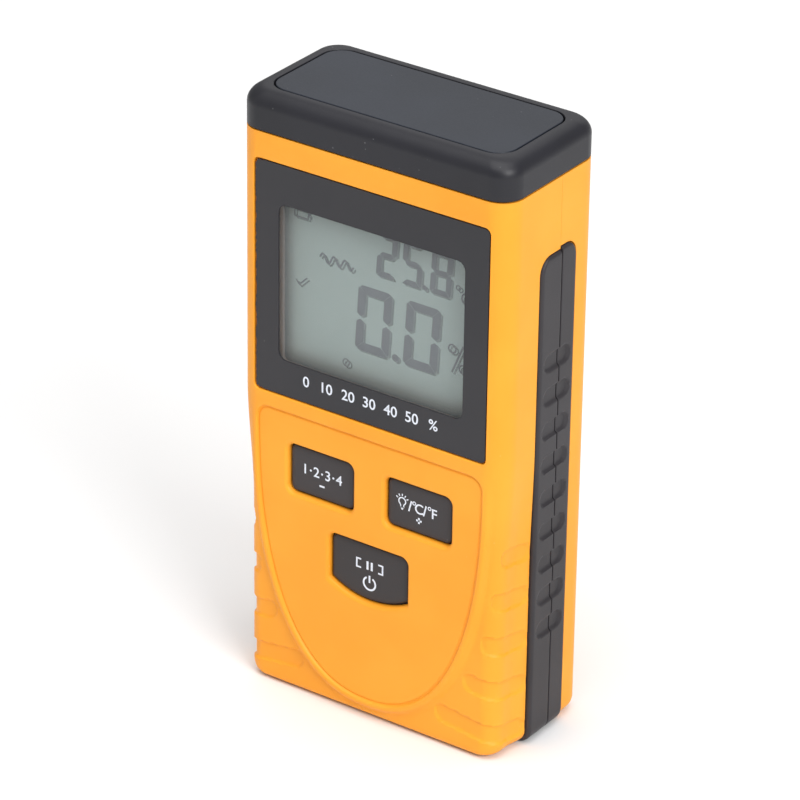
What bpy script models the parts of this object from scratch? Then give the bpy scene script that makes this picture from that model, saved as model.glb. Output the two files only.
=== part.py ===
"""Hand-held pinless moisture meter, standing on its base end.

X is the width, the display and keys face -Y, and +Z runs up the length to the sensor face.
The origin is the middle of the base, where the two grip strips touch the ground.
"""

import math

import bmesh
import bpy
from mathutils import Vector

MM = 0.001
GAP = 0.3 * MM  # clearance between pieces that touch
PAST = 1.0 * MM  # how far a cutter runs on past the face that it cuts
STEP = 0.01 * MM  # level change that stands for a square shoulder in a turned profile
MERGE = 0.001 * MM

# Overall sizes
LENGTH = 138.0 * MM
WIDTH = 66.8 * MM
DEPTH = 33.0 * MM
CORNER_RADIUS = 5.2 * MM
WALL = 2.2 * MM
INNER_CORNER_RADIUS = 1.0 * MM  # least upright corner inside the housings
INNER_BASE_RADIUS = 0.4 * MM  # least corner inside the base
PARTING_Y = 2.7 * MM  # plane where the front and rear housings meet

# Base and grip strips
GRIP_PROUD = 0.5 * MM
CHANNEL_DEPTH = 1.2 * MM
BASE_SIDE_RADIUS = 3.0 * MM
BASE_FRONT_RADIUS = 1.5 * MM
GRIP_FRONT_Y = -4.4 * MM
GRIP_BACK_Y = 8.2 * MM
FRONT_GRIP_TOP = 113.2 * MM
REAR_GRIP_TOP = 113.8 * MM
GRIP_END_RADIUS = 3.4 * MM
RECESS_COUNT = 9
RECESS_FIRST_Z = 26.9 * MM
RECESS_PITCH = 7.79 * MM
RECESS_LENGTH = 9.8 * MM
RECESS_HEIGHT = 4.4 * MM
RECESS_DEPTH = 0.8 * MM
RECESS_CENTRE_Y = 1.9 * MM

# Sensor cap
CAP_HEIGHT = 8.3 * MM
CAP_EDGE_RADIUS = 3.4 * MM
CAP_ROOF = 1.7 * MM
CAP_LIP_LENGTH = 3.0 * MM
CAP_LIP_WALL = 1.4 * MM
PLATE_RIM = 4.4 * MM
PLATE_RADIUS = 4.4 * MM
PLATE_THICKNESS = 1.2 * MM
ELECTRODE_WIDTH = 42.0 * MM
ELECTRODE_DEPTH = 17.0 * MM
ELECTRODE_THICKNESS = 0.4 * MM
ELECTRODE_RADIUS = 1.5 * MM
SENSOR_BOARD_WIDTH = 53.0 * MM
SENSOR_BOARD_DEPTH = 19.0 * MM
SHIELD_WIDTH = 20.0 * MM
SHIELD_DEPTH = 12.0 * MM
SHIELD_HEIGHT = 2.4 * MM
SENSOR_BOSS_RADIUS = 2.2 * MM
SENSOR_SCREW_GRIP = 1.5 * MM  # thread in the boss
SENSOR_LEAD_RADIUS = 0.6 * MM
SENSOR_LEAD_X = 15.0 * MM
SENSOR_LEAD_Y = 4.0 * MM

# Display
OVERLAY_WIDTH = 57.8 * MM
OVERLAY_HEIGHT = 52.4 * MM
OVERLAY_CENTRE_Z = 97.2 * MM
OVERLAY_RADIUS = 1.1 * MM
OVERLAY_THICKNESS = 0.5 * MM
OVERLAY_RECESS = 1.1 * MM
WINDOW_WIDTH = 46.2 * MM
WINDOW_HEIGHT = 35.5 * MM
WINDOW_CENTRE_Z = 96.8 * MM
WINDOW_RADIUS = 2.0 * MM
WINDOW_THICKNESS = 1.0 * MM
WINDOW_MARGIN = 1.2 * MM  # how far the pane runs on behind the overlay
GLASS_WIDTH = 49.4 * MM
GLASS_HEIGHT = 42.5 * MM
GLASS_TOP = 115.6 * MM
GLASS_THICKNESS = 1.1 * MM
GLASS_CORNER = 0.4 * MM
GLASS_LEDGE = 3.4 * MM  # strip of the front glass that carries the contacts
POLARIZER_THICKNESS = 0.3 * MM
REFLECTOR_THICKNESS = 0.25 * MM
LIGHT_GUIDE_THICKNESS = 1.2 * MM
LED_WIDTH = 6.0 * MM
LED_HEIGHT = 1.5 * MM
HOLDER_WALL = 1.0 * MM
HOLDER_LIP = 0.8 * MM
CONTACT_INSET = 1.0 * MM

# Keys
KEY_RECESS = 1.3 * MM  # key face below the front of the housing
KEY_WIDTH = 16.1 * MM
KEY_HEIGHT = 10.9 * MM
KEY_RADIUS = 1.4 * MM
KEY_X = 12.4 * MM
KEY_Z = 54.25 * MM
HOLD_WIDTH = 19.4 * MM
HOLD_TOP = 41.9 * MM
HOLD_SIDE = 10.3 * MM
HOLD_SAG = 2.8 * MM
KEY_EDGE = 0.4 * MM
KEY_CLEARANCE = 0.35 * MM
KEY_FLANGE = 1.0 * MM
KEY_FLANGE_THICKNESS = 0.8 * MM
KEY_STEM_RADIUS = 2.0 * MM
KEY_TRAVEL = 0.3 * MM
SWITCH_SIZE = 6.0 * MM
SWITCH_HEIGHT = 3.2 * MM
PLUNGER_RADIUS = 1.7 * MM
PLUNGER_PROUD = 0.9 * MM

# Control panel recess, a straight top on a rounded tongue
PANEL_HALF_WIDTH = 28.4 * MM
PANEL_TOP = 67.2 * MM
PANEL_SHOULDER = 63.7 * MM
PANEL_BOTTOM = 4.9 * MM
PANEL_CORNER = 3.0 * MM
PANEL_ROUNDNESS = 2.3
PANEL_RECESS = 0.4 * MM

# Boards and their parts
BOARD_WIDTH = 53.0 * MM
BOARD_BOTTOM = 21.0 * MM
BOARD_TOP = 117.5 * MM
BOARD_THICKNESS = 1.6 * MM
BOARD_CORNER = 1.0 * MM
POST_RADIUS = 2.3 * MM
POST_INSET = 3.4 * MM
LOWER_POST_Z = 25.5 * MM
UPPER_POST_Z = 68.0 * MM
BOARD_SCREW_RADIUS = 0.9 * MM
BOARD_SCREW_HEAD = 1.8 * MM
BOARD_SCREW_HEAD_HEIGHT = 1.3 * MM
BOARD_SCREW_LENGTH = 5.0 * MM
PART_CORNER = 0.3 * MM
CAN_CHAMFER = 0.4 * MM

# Battery, its compartment and door
BATTERY_WIDTH = 26.5 * MM
BATTERY_DEPTH = 17.5 * MM
BATTERY_HEIGHT = 46.4 * MM
BATTERY_RADIUS = 2.5 * MM
TERMINAL_SPACING = 12.7 * MM
TERMINAL_HEIGHT = 2.4 * MM
POSITIVE_RADIUS = 2.8 * MM
NEGATIVE_RADIUS = 3.9 * MM
SNAP_HEIGHT = 4.2 * MM
SNAP_CAP = 1.8 * MM
SNAP_MARGIN = 0.5 * MM  # snap in from the battery's sides
SNAP_RIM = 2.0 * MM  # snap out from the wider terminal
SNAP_RADIUS = 3.0 * MM
LEAD_RADIUS = 0.8 * MM
LEAD_X = 2.5 * MM
LEAD_RISE = 8.0 * MM  # top of the leads above the battery bay
BAY_CLEARANCE = 0.5 * MM
BAY_BOTTOM = 10.0 * MM
BAY_HEIGHT = 53.0 * MM
BAY_WALL = 1.2 * MM
BAY_FRONT_WALL = 1.0 * MM
BAY_FRAME = 3.2 * MM  # width of the ledge that the door closes against
BAY_FRAME_THICKNESS = 2.2 * MM
DOOR_THICKNESS = 2.0 * MM
DOOR_OVERLAP = 1.8 * MM
DOOR_CLEARANCE = 0.35 * MM
PIVOT_RADIUS = 0.5 * MM
PIVOT_LENGTH = 1.0 * MM
LATCH_WIDTH = 8.0 * MM
LATCH_THICKNESS = 1.4 * MM
LATCH_REACH = 1.8 * MM

# Fasteners between the housings
SCREW_INSET = 7.4 * MM
LOWER_SCREW_Z = 12.6 * MM
UPPER_SCREW_DROP = 8.2 * MM  # below the top edge of the housings
SCREW_RADIUS = 1.3 * MM
SCREW_HEAD_RADIUS = 2.5 * MM
SCREW_HEAD_HEIGHT = 1.9 * MM
SCREW_LENGTH = 10.0 * MM
SCREW_SEAT = 7.2 * MM  # seat of the heads behind the parting plane
FRONT_BOSS_RADIUS = 2.9 * MM
REAR_BOSS_RADIUS = 3.7 * MM

# Places worked out from the sizes above
FRONT_Y = -DEPTH / 2
BACK_Y = DEPTH / 2
SIDE_X = WIDTH / 2
HOUSING_BOTTOM = GRIP_PROUD
HOUSING_TOP = LENGTH - CAP_HEIGHT
OVERLAY_BACK = FRONT_Y + OVERLAY_RECESS - GAP
OVERLAY_FRONT = OVERLAY_BACK - OVERLAY_THICKNESS
WINDOW_FRONT = OVERLAY_BACK + GAP
DOOR_INNER_Y = BACK_Y - DOOR_THICKNESS
BATTERY_BACK = DOOR_INNER_Y - BAY_CLEARANCE
BATTERY_FRONT = BATTERY_BACK - BATTERY_DEPTH
BAY_FRONT_Y = BATTERY_FRONT - GAP
BOARD_BACK = BAY_FRONT_Y - BAY_FRONT_WALL - GAP
BOARD_FRONT = BOARD_BACK - BOARD_THICKNESS
HOLDER_BACK = BOARD_FRONT - GAP
GUIDE_FRONT = HOLDER_BACK - GAP - LIGHT_GUIDE_THICKNESS
REFLECTOR_FRONT = GUIDE_FRONT - GAP - REFLECTOR_THICKNESS
REAR_GLASS_FRONT = REFLECTOR_FRONT - GAP - GLASS_THICKNESS
FRONT_GLASS_FRONT = REAR_GLASS_FRONT - GAP - GLASS_THICKNESS
POLARIZER_FRONT = FRONT_GLASS_FRONT - GAP - POLARIZER_THICKNESS
GLASS_BOTTOM = GLASS_TOP - GLASS_HEIGHT
KEY_FRONT = FRONT_Y + KEY_RECESS
FLANGE_FRONT = FRONT_Y + WALL + GAP
FLANGE_BACK = FLANGE_FRONT + KEY_FLANGE_THICKNESS
SWITCH_BACK = BOARD_FRONT - GAP
SWITCH_FRONT = SWITCH_BACK - SWITCH_HEIGHT
PLUNGER_FRONT = SWITCH_FRONT - PLUNGER_PROUD
PLATE_BOTTOM = LENGTH - PLATE_THICKNESS
ROOF_BOTTOM = PLATE_BOTTOM - GAP - CAP_ROOF
ELECTRODE_BOTTOM = ROOF_BOTTOM - GAP - ELECTRODE_THICKNESS
SENSOR_BOARD_BOTTOM = ELECTRODE_BOTTOM - GAP - BOARD_THICKNESS
BATTERY_BOTTOM = BAY_BOTTOM + BAY_CLEARANCE
BATTERY_TOP = BATTERY_BOTTOM + BATTERY_HEIGHT
BATTERY_Y = BATTERY_FRONT + BATTERY_DEPTH / 2
BAY_TOP = BAY_BOTTOM + BAY_HEIGHT
BAY_HALF_WIDTH = BATTERY_WIDTH / 2 + BAY_CLEARANCE
SNAP_BOTTOM = BATTERY_TOP + 2 * GAP
SNAP_TOP = SNAP_BOTTOM + SNAP_HEIGHT
DOOR_BOTTOM = BAY_BOTTOM - DOOR_OVERLAP
DOOR_TOP = BAY_TOP + DOOR_OVERLAP
DOOR_HALF_WIDTH = BAY_HALF_WIDTH + DOOR_OVERLAP
PIVOT_Y = BACK_Y - DOOR_THICKNESS / 2
PIVOT_Z = DOOR_BOTTOM + DOOR_THICKNESS / 2
SCREW_X = SIDE_X - SCREW_INSET
UPPER_SCREW_Z = HOUSING_TOP - UPPER_SCREW_DROP
POST_X = BOARD_WIDTH / 2 - POST_INSET
SCREW_SEAT_Y = PARTING_Y + SCREW_SEAT
SCREW_PLACES = [(side * SCREW_X, z) for z in (LOWER_SCREW_Z, UPPER_SCREW_Z) for side in (-1, 1)]
POST_PLACES = [(side * POST_X, z) for z in (LOWER_POST_Z, UPPER_POST_Z) for side in (-1, 1)]
SENSOR_SCREW_X = (ELECTRODE_WIDTH + SENSOR_BOARD_WIDTH) / 4
OUTSIDE_Y = FRONT_Y - PAST
BEHIND_Y = BACK_Y + PAST
BEHIND_WALL_Y = FRONT_Y + WALL + PAST

# Parts on the back of the main board: name, x, z, width, height, depth, finish
BLOCK_PARTS = [
    ("microcontroller", -8 * MM, 96 * MM, 12 * MM, 12 * MM, 1.6 * MM, "chip_black"),
    ("signal_amplifier", 12 * MM, 103 * MM, 5 * MM, 6 * MM, 1.7 * MM, "chip_black"),
    ("voltage_regulator", 12 * MM, 91 * MM, 4.5 * MM, 2.6 * MM, 1.6 * MM, "chip_black"),
    ("crystal", -8 * MM, 84 * MM, 11 * MM, 4.6 * MM, 3.6 * MM, "steel"),
    ("thermistor", -18 * MM, 110 * MM, 3.2 * MM, 1.6 * MM, 0.9 * MM, "chip_black"),
]
# Round ones: name, x, z, radius, depth, finish
CAN_PARTS = [
    ("filter_capacitor", 20 * MM, 80 * MM, 3.15 * MM, 7.7 * MM, "steel"),
    ("buzzer", 6 * MM, 78 * MM, 6 * MM, 7.5 * MM, "chip_black"),
]

FINISHES = {
    "orange_shell": ((0.95, 0.36, 0.045), 0.5, 0.0),
    "black_shell": ((0.045, 0.047, 0.055), 0.5, 0.0),
    "black_rubber": ((0.04, 0.04, 0.043), 0.65, 0.0),
    "overlay": ((0.04, 0.04, 0.046), 0.4, 0.0),
    "clear": ((0.85, 0.9, 0.9), 0.05, 0.0),
    "lcd_grey": ((0.27, 0.33, 0.3), 0.35, 0.0),
    "white_plastic": ((0.8, 0.8, 0.76), 0.4, 0.0),
    "board_green": ((0.03, 0.2, 0.07), 0.45, 0.0),
    "chip_black": ((0.02, 0.02, 0.022), 0.4, 0.0),
    "steel": ((0.6, 0.6, 0.6), 0.3, 1.0),
    "copper": ((0.8, 0.42, 0.2), 0.35, 1.0),
    "red_insulation": ((0.6, 0.03, 0.02), 0.5, 0.0),
    "battery_wrap": ((0.12, 0.13, 0.15), 0.35, 0.3),
}


def clear_scene():
    for old in list(bpy.data.objects):
        bpy.data.objects.remove(old, do_unlink=True)


def finish(name):
    """The material of one finish, made the first time it is asked for."""
    if name in bpy.data.materials:
        return bpy.data.materials[name]
    colour, roughness, metallic = FINISHES[name]
    material = bpy.data.materials.new(name)
    material.use_nodes = True
    shader = material.node_tree.nodes["Principled BSDF"]
    shader.inputs["Base Color"].default_value = (*colour, 1.0)
    shader.inputs["Roughness"].default_value = roughness
    shader.inputs["Metallic"].default_value = metallic
    return material


# ---------------------------------------------------------------- outlines


def round_corners(corners, steps=4):
    """Points of a closed outline. Each corner is (u, v, radius), and a radius of 0 keeps it sharp."""
    points = []
    for i, (u, v, radius) in enumerate(corners):
        here = Vector((u, v))
        if radius == 0:
            points.append((u, v))
            continue
        before = (Vector(corners[i - 1][:2]) - here).normalized()
        after = (Vector(corners[(i + 1) % len(corners)][:2]) - here).normalized()
        half_angle = before.angle(after) / 2
        centre = here + (before + after).normalized() * radius / math.sin(half_angle)
        start = here + before * radius / math.tan(half_angle) - centre
        end = here + after * radius / math.tan(half_angle) - centre
        for step in range(steps + 1):
            spoke = start.slerp(end, step / steps).normalized()
            points.append(tuple(centre + spoke * radius))
    return points


def rounded_rectangle(width, height, radius, steps=4):
    u, v = width / 2, height / 2
    return round_corners([(u, v, radius), (-u, v, radius), (-u, -v, radius), (u, -v, radius)], steps)


def circle(radius, sides=24):
    turns = [2 * math.pi * i / sides for i in range(sides)]
    return [(radius * math.cos(turn), radius * math.sin(turn)) for turn in turns]


def key_outline(grow=0.0):
    return rounded_rectangle(KEY_WIDTH + 2 * grow, KEY_HEIGHT + 2 * grow, KEY_RADIUS + grow)


def hold_outline(grow=0.0, steps=8):
    """Key with a straight top and a bowed lower edge, about the middle of its side height."""
    half = HOLD_WIDTH / 2 + grow
    top = HOLD_SIDE / 2 + grow
    bow = (half**2 + HOLD_SAG**2) / (2 * HOLD_SAG)
    reach = math.asin(half / bow)
    corners = [
        (half, top, KEY_RADIUS + grow),
        (-half, top, KEY_RADIUS + grow),
        (-half, -top, KEY_RADIUS / 2),
    ]
    for i in range(1, steps):
        angle = reach * (2 * i / steps - 1)
        corners.append((bow * math.sin(angle), -top - HOLD_SAG + bow * (1 - math.cos(angle)), 0))
    corners.append((half, -top, KEY_RADIUS / 2))
    return round_corners(corners, 3)


def panel_outline(grow=0.0, steps=20):
    """Control panel: straight top, then a rounded tongue down to the base."""
    half = PANEL_HALF_WIDTH + grow
    drop = PANEL_SHOULDER - PANEL_BOTTOM + grow
    corners = [(half, PANEL_TOP + grow, PANEL_CORNER), (-half, PANEL_TOP + grow, PANEL_CORNER)]
    for i in range(steps + 1):
        angle = math.pi * i / steps
        u = -half * math.copysign(abs(math.cos(angle)) ** (2 / PANEL_ROUNDNESS), math.cos(angle))
        corners.append((u, PANEL_SHOULDER - drop * math.sin(angle) ** (2 / PANEL_ROUNDNESS), 0))
    return round_corners(corners, 4)


def base_path(offset, top, steps=6):
    """Line down one side of the housings, under the base and up the other, drawn out by an offset."""
    half = SIDE_X + offset
    radius = BASE_SIDE_RADIUS + offset
    centre_z = HOUSING_BOTTOM + BASE_SIDE_RADIUS
    points = [(-half, top)]
    for side, start in ((-1, math.pi), (1, 1.5 * math.pi)):
        for step in range(steps + 1):
            angle = start + math.pi / 2 * step / steps
            x = side * (half - radius) + radius * math.cos(angle)
            points.append((x, centre_z + radius * math.sin(angle)))
    points.append((half, top))
    return points


# ---------------------------------------------------------------- solids


def build(name, points, faces, finish_name=None, location=(0, 0, 0)):
    mesh = bpy.data.meshes.new(name)
    mesh.from_pydata([tuple(point) for point in points], [], faces)
    shape = bmesh.new()
    shape.from_mesh(mesh)
    bmesh.ops.remove_doubles(shape, verts=shape.verts, dist=MERGE)
    bmesh.ops.recalc_face_normals(shape, faces=shape.faces)
    shape.to_mesh(mesh)
    shape.free()
    piece = bpy.data.objects.new(name, mesh)
    piece.location = location
    piece.parent = meter
    bpy.context.scene.collection.objects.link(piece)
    if finish_name:
        mesh.materials.append(finish(finish_name))
        mesh.shade_smooth()
        mesh.set_sharp_from_angle(angle=math.radians(32))
    else:
        piece.hide_render = True
        piece.display_type = "WIRE"
    return piece


def loft(name, rings, finish_name=None, location=(0, 0, 0)):
    """Skin over rings that have the same number of points, closed at both ends."""
    count = len(rings[0])
    points = [point for ring in rings for point in ring]
    faces = [tuple(range(count)), tuple(range((len(rings) - 1) * count, len(rings) * count))]
    for level in range(len(rings) - 1):
        for i in range(count):
            low, high = level * count, (level + 1) * count
            following = (i + 1) % count
            faces.append((low + i, low + following, high + following, high + i))
    return build(name, points, faces, finish_name, location)


def place(outline, axis, level):
    """A flat outline put across an axis: (u, v) is (y, z) on X, (x, z) on Y and (x, y) on Z."""
    if axis == "X":
        return [(level, u, v) for u, v in outline]
    if axis == "Y":
        return [(u, level, v) for u, v in outline]
    return [(u, v, level) for u, v in outline]


def prism(name, outline, axis, start, end, finish_name=None, location=(0, 0, 0)):
    return loft(name, [place(outline, axis, start), place(outline, axis, end)], finish_name, location)


def turned(name, profile, axis, finish_name=None, location=(0, 0, 0), sides=24):
    """Round piece from (level, radius) pairs along an axis."""
    rings = [place(circle(radius, sides), axis, level) for level, radius in profile]
    return loft(name, rings, finish_name, location)


def box(name, low, high, finish_name=None):
    """Block between two corners, with its origin at its middle."""
    centre = (Vector(low) + Vector(high)) / 2
    x, y, z = (Vector(high) - Vector(low)) / 2
    return prism(name, [(-x, -y), (x, -y), (x, y), (-x, y)], "Z", -z, z, finish_name, centre)


def combine(piece, tool, operation):
    change = piece.modifiers.new(tool.name, "BOOLEAN")
    change.operation = operation
    change.solver = "EXACT"
    change.object = tool
    tool.hide_render = True
    tool.display_type = "WIRE"


def cut(piece, *tools):
    for tool in tools:
        combine(piece, tool, "DIFFERENCE")


def add(piece, *tools):
    for tool in tools:
        combine(piece, tool, "UNION")


def wire(name, route, radius, finish_name):
    """Insulated wire along a smooth curve through the points of its route."""
    curve = bpy.data.curves.new(name, "CURVE")
    curve.dimensions = "3D"
    curve.bevel_depth = radius
    curve.bevel_resolution = 2
    curve.use_fill_caps = True
    points = smooth_route(route)
    line = curve.splines.new("POLY")
    line.points.add(len(points) - 1)
    for spline_point, point in zip(line.points, points):
        spline_point.co = (*point, 1.0)
    curve.materials.append(finish(finish_name))
    piece = bpy.data.objects.new(name, curve)
    piece.parent = meter
    bpy.context.scene.collection.objects.link(piece)
    return piece


def smooth_route(route, steps=4):
    """Catmull-Rom points through a route."""
    route = [Vector(point) for point in route]
    before = 2 * route[0] - route[1]
    after = 2 * route[-1] - route[-2]
    ends = [before, *route, after]
    points = []
    for a, b, c, d in zip(ends, ends[1:], ends[2:], ends[3:]):
        bend = 2 * a - 5 * b + 4 * c - d
        twist = 3 * b - a - 3 * c + d
        for step in range(steps):
            t = step / steps
            points.append(b + 0.5 * ((c - a) * t + bend * t**2 + twist * t**3))
    points.append(route[-1])
    return points


# ---------------------------------------------------------------- housings


def edge_inset(radius, rise):
    """How far a rounded edge stands in, at a height above the edge's lowest line."""
    if rise >= radius:
        return 0.0
    return radius - math.sqrt(radius**2 - (radius - rise) ** 2)


def body_rings(inset, top):
    """Rings of the housings' outline, drawn in by an inset."""
    side_radius = max(BASE_SIDE_RADIUS - inset, INNER_BASE_RADIUS)
    front_radius = max(BASE_FRONT_RADIUS - inset, INNER_BASE_RADIUS)
    bottom = HOUSING_BOTTOM + inset
    rises = [0.0]
    for radius in (front_radius, side_radius):
        rises += [radius * (1 - math.cos(math.radians(angle))) for angle in (22, 45, 67, 90)]
    rings = []
    for rise in sorted({round(rise, 7) for rise in rises}):
        inset_x = inset + edge_inset(side_radius, rise)
        inset_y = inset + edge_inset(front_radius, rise)
        radius = max(CORNER_RADIUS - inset_y, INNER_CORNER_RADIUS)
        outline = rounded_rectangle(WIDTH - 2 * inset_x, DEPTH - 2 * inset_y, radius)
        rings.append(place(outline, "Z", bottom + rise))
    rings.append(place(outline, "Z", top))
    return rings


def strip(name, is_front, outer, inner, grow, finish_name=None):
    """Band of one half between two offsets from the housings, with its ends rounded on the outer corner."""
    if is_front:
        edge, seam, top = GRIP_FRONT_Y - grow, PARTING_Y - GAP / 2 + grow, FRONT_GRIP_TOP + grow
    else:
        edge, seam, top = GRIP_BACK_Y + grow, PARTING_Y + GAP / 2 - grow, REAR_GRIP_TOP + grow
    outline = base_path(outer, top) + base_path(inner, top)[::-1]
    band = prism(name, outline, "Y", min(edge, seam), max(edge, seam), finish_name)
    under = HOUSING_BOTTOM - outer - PAST
    ends = [(edge, top, GRIP_END_RADIUS + grow), (seam, top, 0), (seam, under, 0), (edge, under, 0)]
    profile = prism(name + "_ends", round_corners(ends, 5), "X", -WIDTH, WIDTH)
    combine(band, profile, "INTERSECT")
    return band


def housing_shell(name, finish_name, keep_front):
    """One half of the body: outer skin less the cavity, the other half and the strip channel."""
    shell = loft(name, body_rings(0.0, HOUSING_TOP - GAP / 2), finish_name)
    cavity = loft(name + "_cavity", body_rings(WALL, LENGTH))
    far = 2 * DEPTH
    if keep_front:
        low, high = (-far, PARTING_Y - GAP / 2, -far), (far, far, 2 * LENGTH)
    else:
        low, high = (-far, -far, -far), (far, PARTING_Y + GAP / 2, 2 * LENGTH)
    other_half = box(name + "_other_half", low, high)
    channel = strip(name + "_channel", keep_front, PAST, -CHANNEL_DEPTH, GAP)
    cut(shell, cavity, other_half, channel)
    return shell


def across(name, outline, start, end, x=0.0, z=0.0):
    """Cutter or boss that runs from front to back through a point of the front view."""
    return prism(name, outline, "Y", start, end, None, (x, 0, z))


def front_housing():
    shell = housing_shell("front_housing", "orange_shell", True)
    root = FRONT_Y + WALL / 2  # bosses start inside the wall, so that they join it
    for i, (x, z) in enumerate(SCREW_PLACES):
        seam = PARTING_Y - GAP / 2
        add(shell, across(f"front_boss_{i}", circle(FRONT_BOSS_RADIUS), root, seam, x, z))
        pilot = circle(SCREW_RADIUS + GAP, 16)
        cut(shell, across(f"front_pilot_{i}", pilot, FRONT_Y + 2 * WALL, PARTING_Y, x, z))
    for i, (x, z) in enumerate(POST_PLACES):
        add(shell, across(f"board_post_{i}", circle(POST_RADIUS, 20), root, BOARD_FRONT - GAP, x, z))
        pilot = circle(BOARD_SCREW_RADIUS + GAP, 12)
        deep = BOARD_FRONT - BOARD_SCREW_LENGTH - GAP
        cut(shell, across(f"board_pilot_{i}", pilot, deep, BOARD_FRONT, x, z))
    seat = across(
        "overlay_seat",
        rounded_rectangle(OVERLAY_WIDTH + 2 * GAP, OVERLAY_HEIGHT + 2 * GAP, OVERLAY_RADIUS + GAP),
        OUTSIDE_Y,
        FRONT_Y + OVERLAY_RECESS,
        z=OVERLAY_CENTRE_Z,
    )
    pane = WINDOW_MARGIN + GAP
    opening = across(
        "window_opening",
        rounded_rectangle(WINDOW_WIDTH + 2 * pane, WINDOW_HEIGHT + 2 * pane, WINDOW_RADIUS + pane),
        OUTSIDE_Y,
        BEHIND_WALL_Y,
        z=WINDOW_CENTRE_Z,
    )
    panel = across("panel_recess", panel_outline(), OUTSIDE_Y, FRONT_Y + PANEL_RECESS)
    cut(shell, seat, opening, panel)
    for key_name, outline, x, z in key_places(KEY_CLEARANCE):
        cut(shell, across(f"{key_name}_opening", outline, OUTSIDE_Y, BEHIND_WALL_Y, x, z))


def rear_housing():
    shell = housing_shell("rear_housing", "orange_shell", False)
    wall_inside = BACK_Y - WALL
    bay = box(
        "bay_outside",
        (-BAY_HALF_WIDTH - BAY_WALL, BAY_FRONT_Y - BAY_FRONT_WALL, BAY_BOTTOM - BAY_WALL),
        (BAY_HALF_WIDTH + BAY_WALL, wall_inside + WALL / 2, BAY_TOP + BAY_WALL),
    )
    frame_x = BAY_HALF_WIDTH + BAY_FRAME
    frame = box(
        "bay_frame",
        (-frame_x, wall_inside - BAY_FRAME_THICKNESS, BAY_BOTTOM - BAY_FRAME),
        (frame_x, wall_inside + WALL / 2, BAY_TOP + BAY_FRAME),
    )
    inside = box(
        "bay_inside",
        (-BAY_HALF_WIDTH, BAY_FRONT_Y, BAY_BOTTOM),
        (BAY_HALF_WIDTH, BEHIND_Y, BAY_TOP),
    )
    add(shell, bay, frame)
    for i, (x, z) in enumerate(SCREW_PLACES):
        seam = PARTING_Y + GAP / 2
        boss = across(f"rear_boss_{i}", circle(REAR_BOSS_RADIUS), seam, wall_inside + WALL / 2, x, z)
        hole = turned(
            f"rear_hole_{i}",
            [
                (PARTING_Y - PAST, SCREW_RADIUS + GAP),
                (SCREW_SEAT_Y, SCREW_RADIUS + GAP),
                (SCREW_SEAT_Y + STEP, SCREW_HEAD_RADIUS + GAP),
                (BEHIND_Y, SCREW_HEAD_RADIUS + GAP),
            ],
            "Y",
            None,
            (x, 0, z),
        )
        add(shell, boss)
        cut(shell, hole)
    low = DOOR_BOTTOM - DOOR_CLEARANCE
    high = DOOR_TOP + DOOR_CLEARANCE
    half = DOOR_HALF_WIDTH + DOOR_CLEARANCE
    rebate = box("door_rebate", (-half, DOOR_INNER_Y - GAP, low), (half, BEHIND_Y, high))
    socket_reach = DOOR_HALF_WIDTH + PIVOT_LENGTH + GAP
    sockets = prism(
        "pivot_sockets",
        circle(PIVOT_RADIUS + GAP, 12),
        "X",
        -socket_reach,
        socket_reach,
        None,
        (0, PIVOT_Y, PIVOT_Z),
    )
    lead_slot = box(
        "lead_slot",
        (-TERMINAL_SPACING / 2, BATTERY_Y - 3 * LEAD_RADIUS, BAY_TOP - PAST),
        (TERMINAL_SPACING / 2, BATTERY_Y + 3 * LEAD_RADIUS, BAY_TOP + 2 * BAY_WALL),
    )
    cut(shell, inside, rebate, sockets, lead_slot)


def grips():
    """Rubber strips, one on each housing, with the row of finger recesses across both."""
    front = strip("front_grip", True, GRIP_PROUD, GAP - CHANNEL_DEPTH, 0.0, "black_rubber")
    rear = strip("rear_grip", False, GRIP_PROUD, GAP - CHANNEL_DEPTH, 0.0, "black_rubber")
    stadium = rounded_rectangle(RECESS_LENGTH, RECESS_HEIGHT, RECESS_HEIGHT * 0.499)
    reach = SIDE_X + GRIP_PROUD
    for side in (-1, 1):
        for i in range(RECESS_COUNT):
            z = RECESS_FIRST_Z + i * RECESS_PITCH
            recess = prism(
                f"finger_recess_{'left' if side < 0 else 'right'}_{i}",
                stadium,
                "X",
                side * (reach - RECESS_DEPTH),
                side * (reach + PAST),
                None,
                (0, RECESS_CENTRE_Y, z),
            )
            cut(front, recess)
            cut(rear, recess)


# ---------------------------------------------------------------- sensor end


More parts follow.
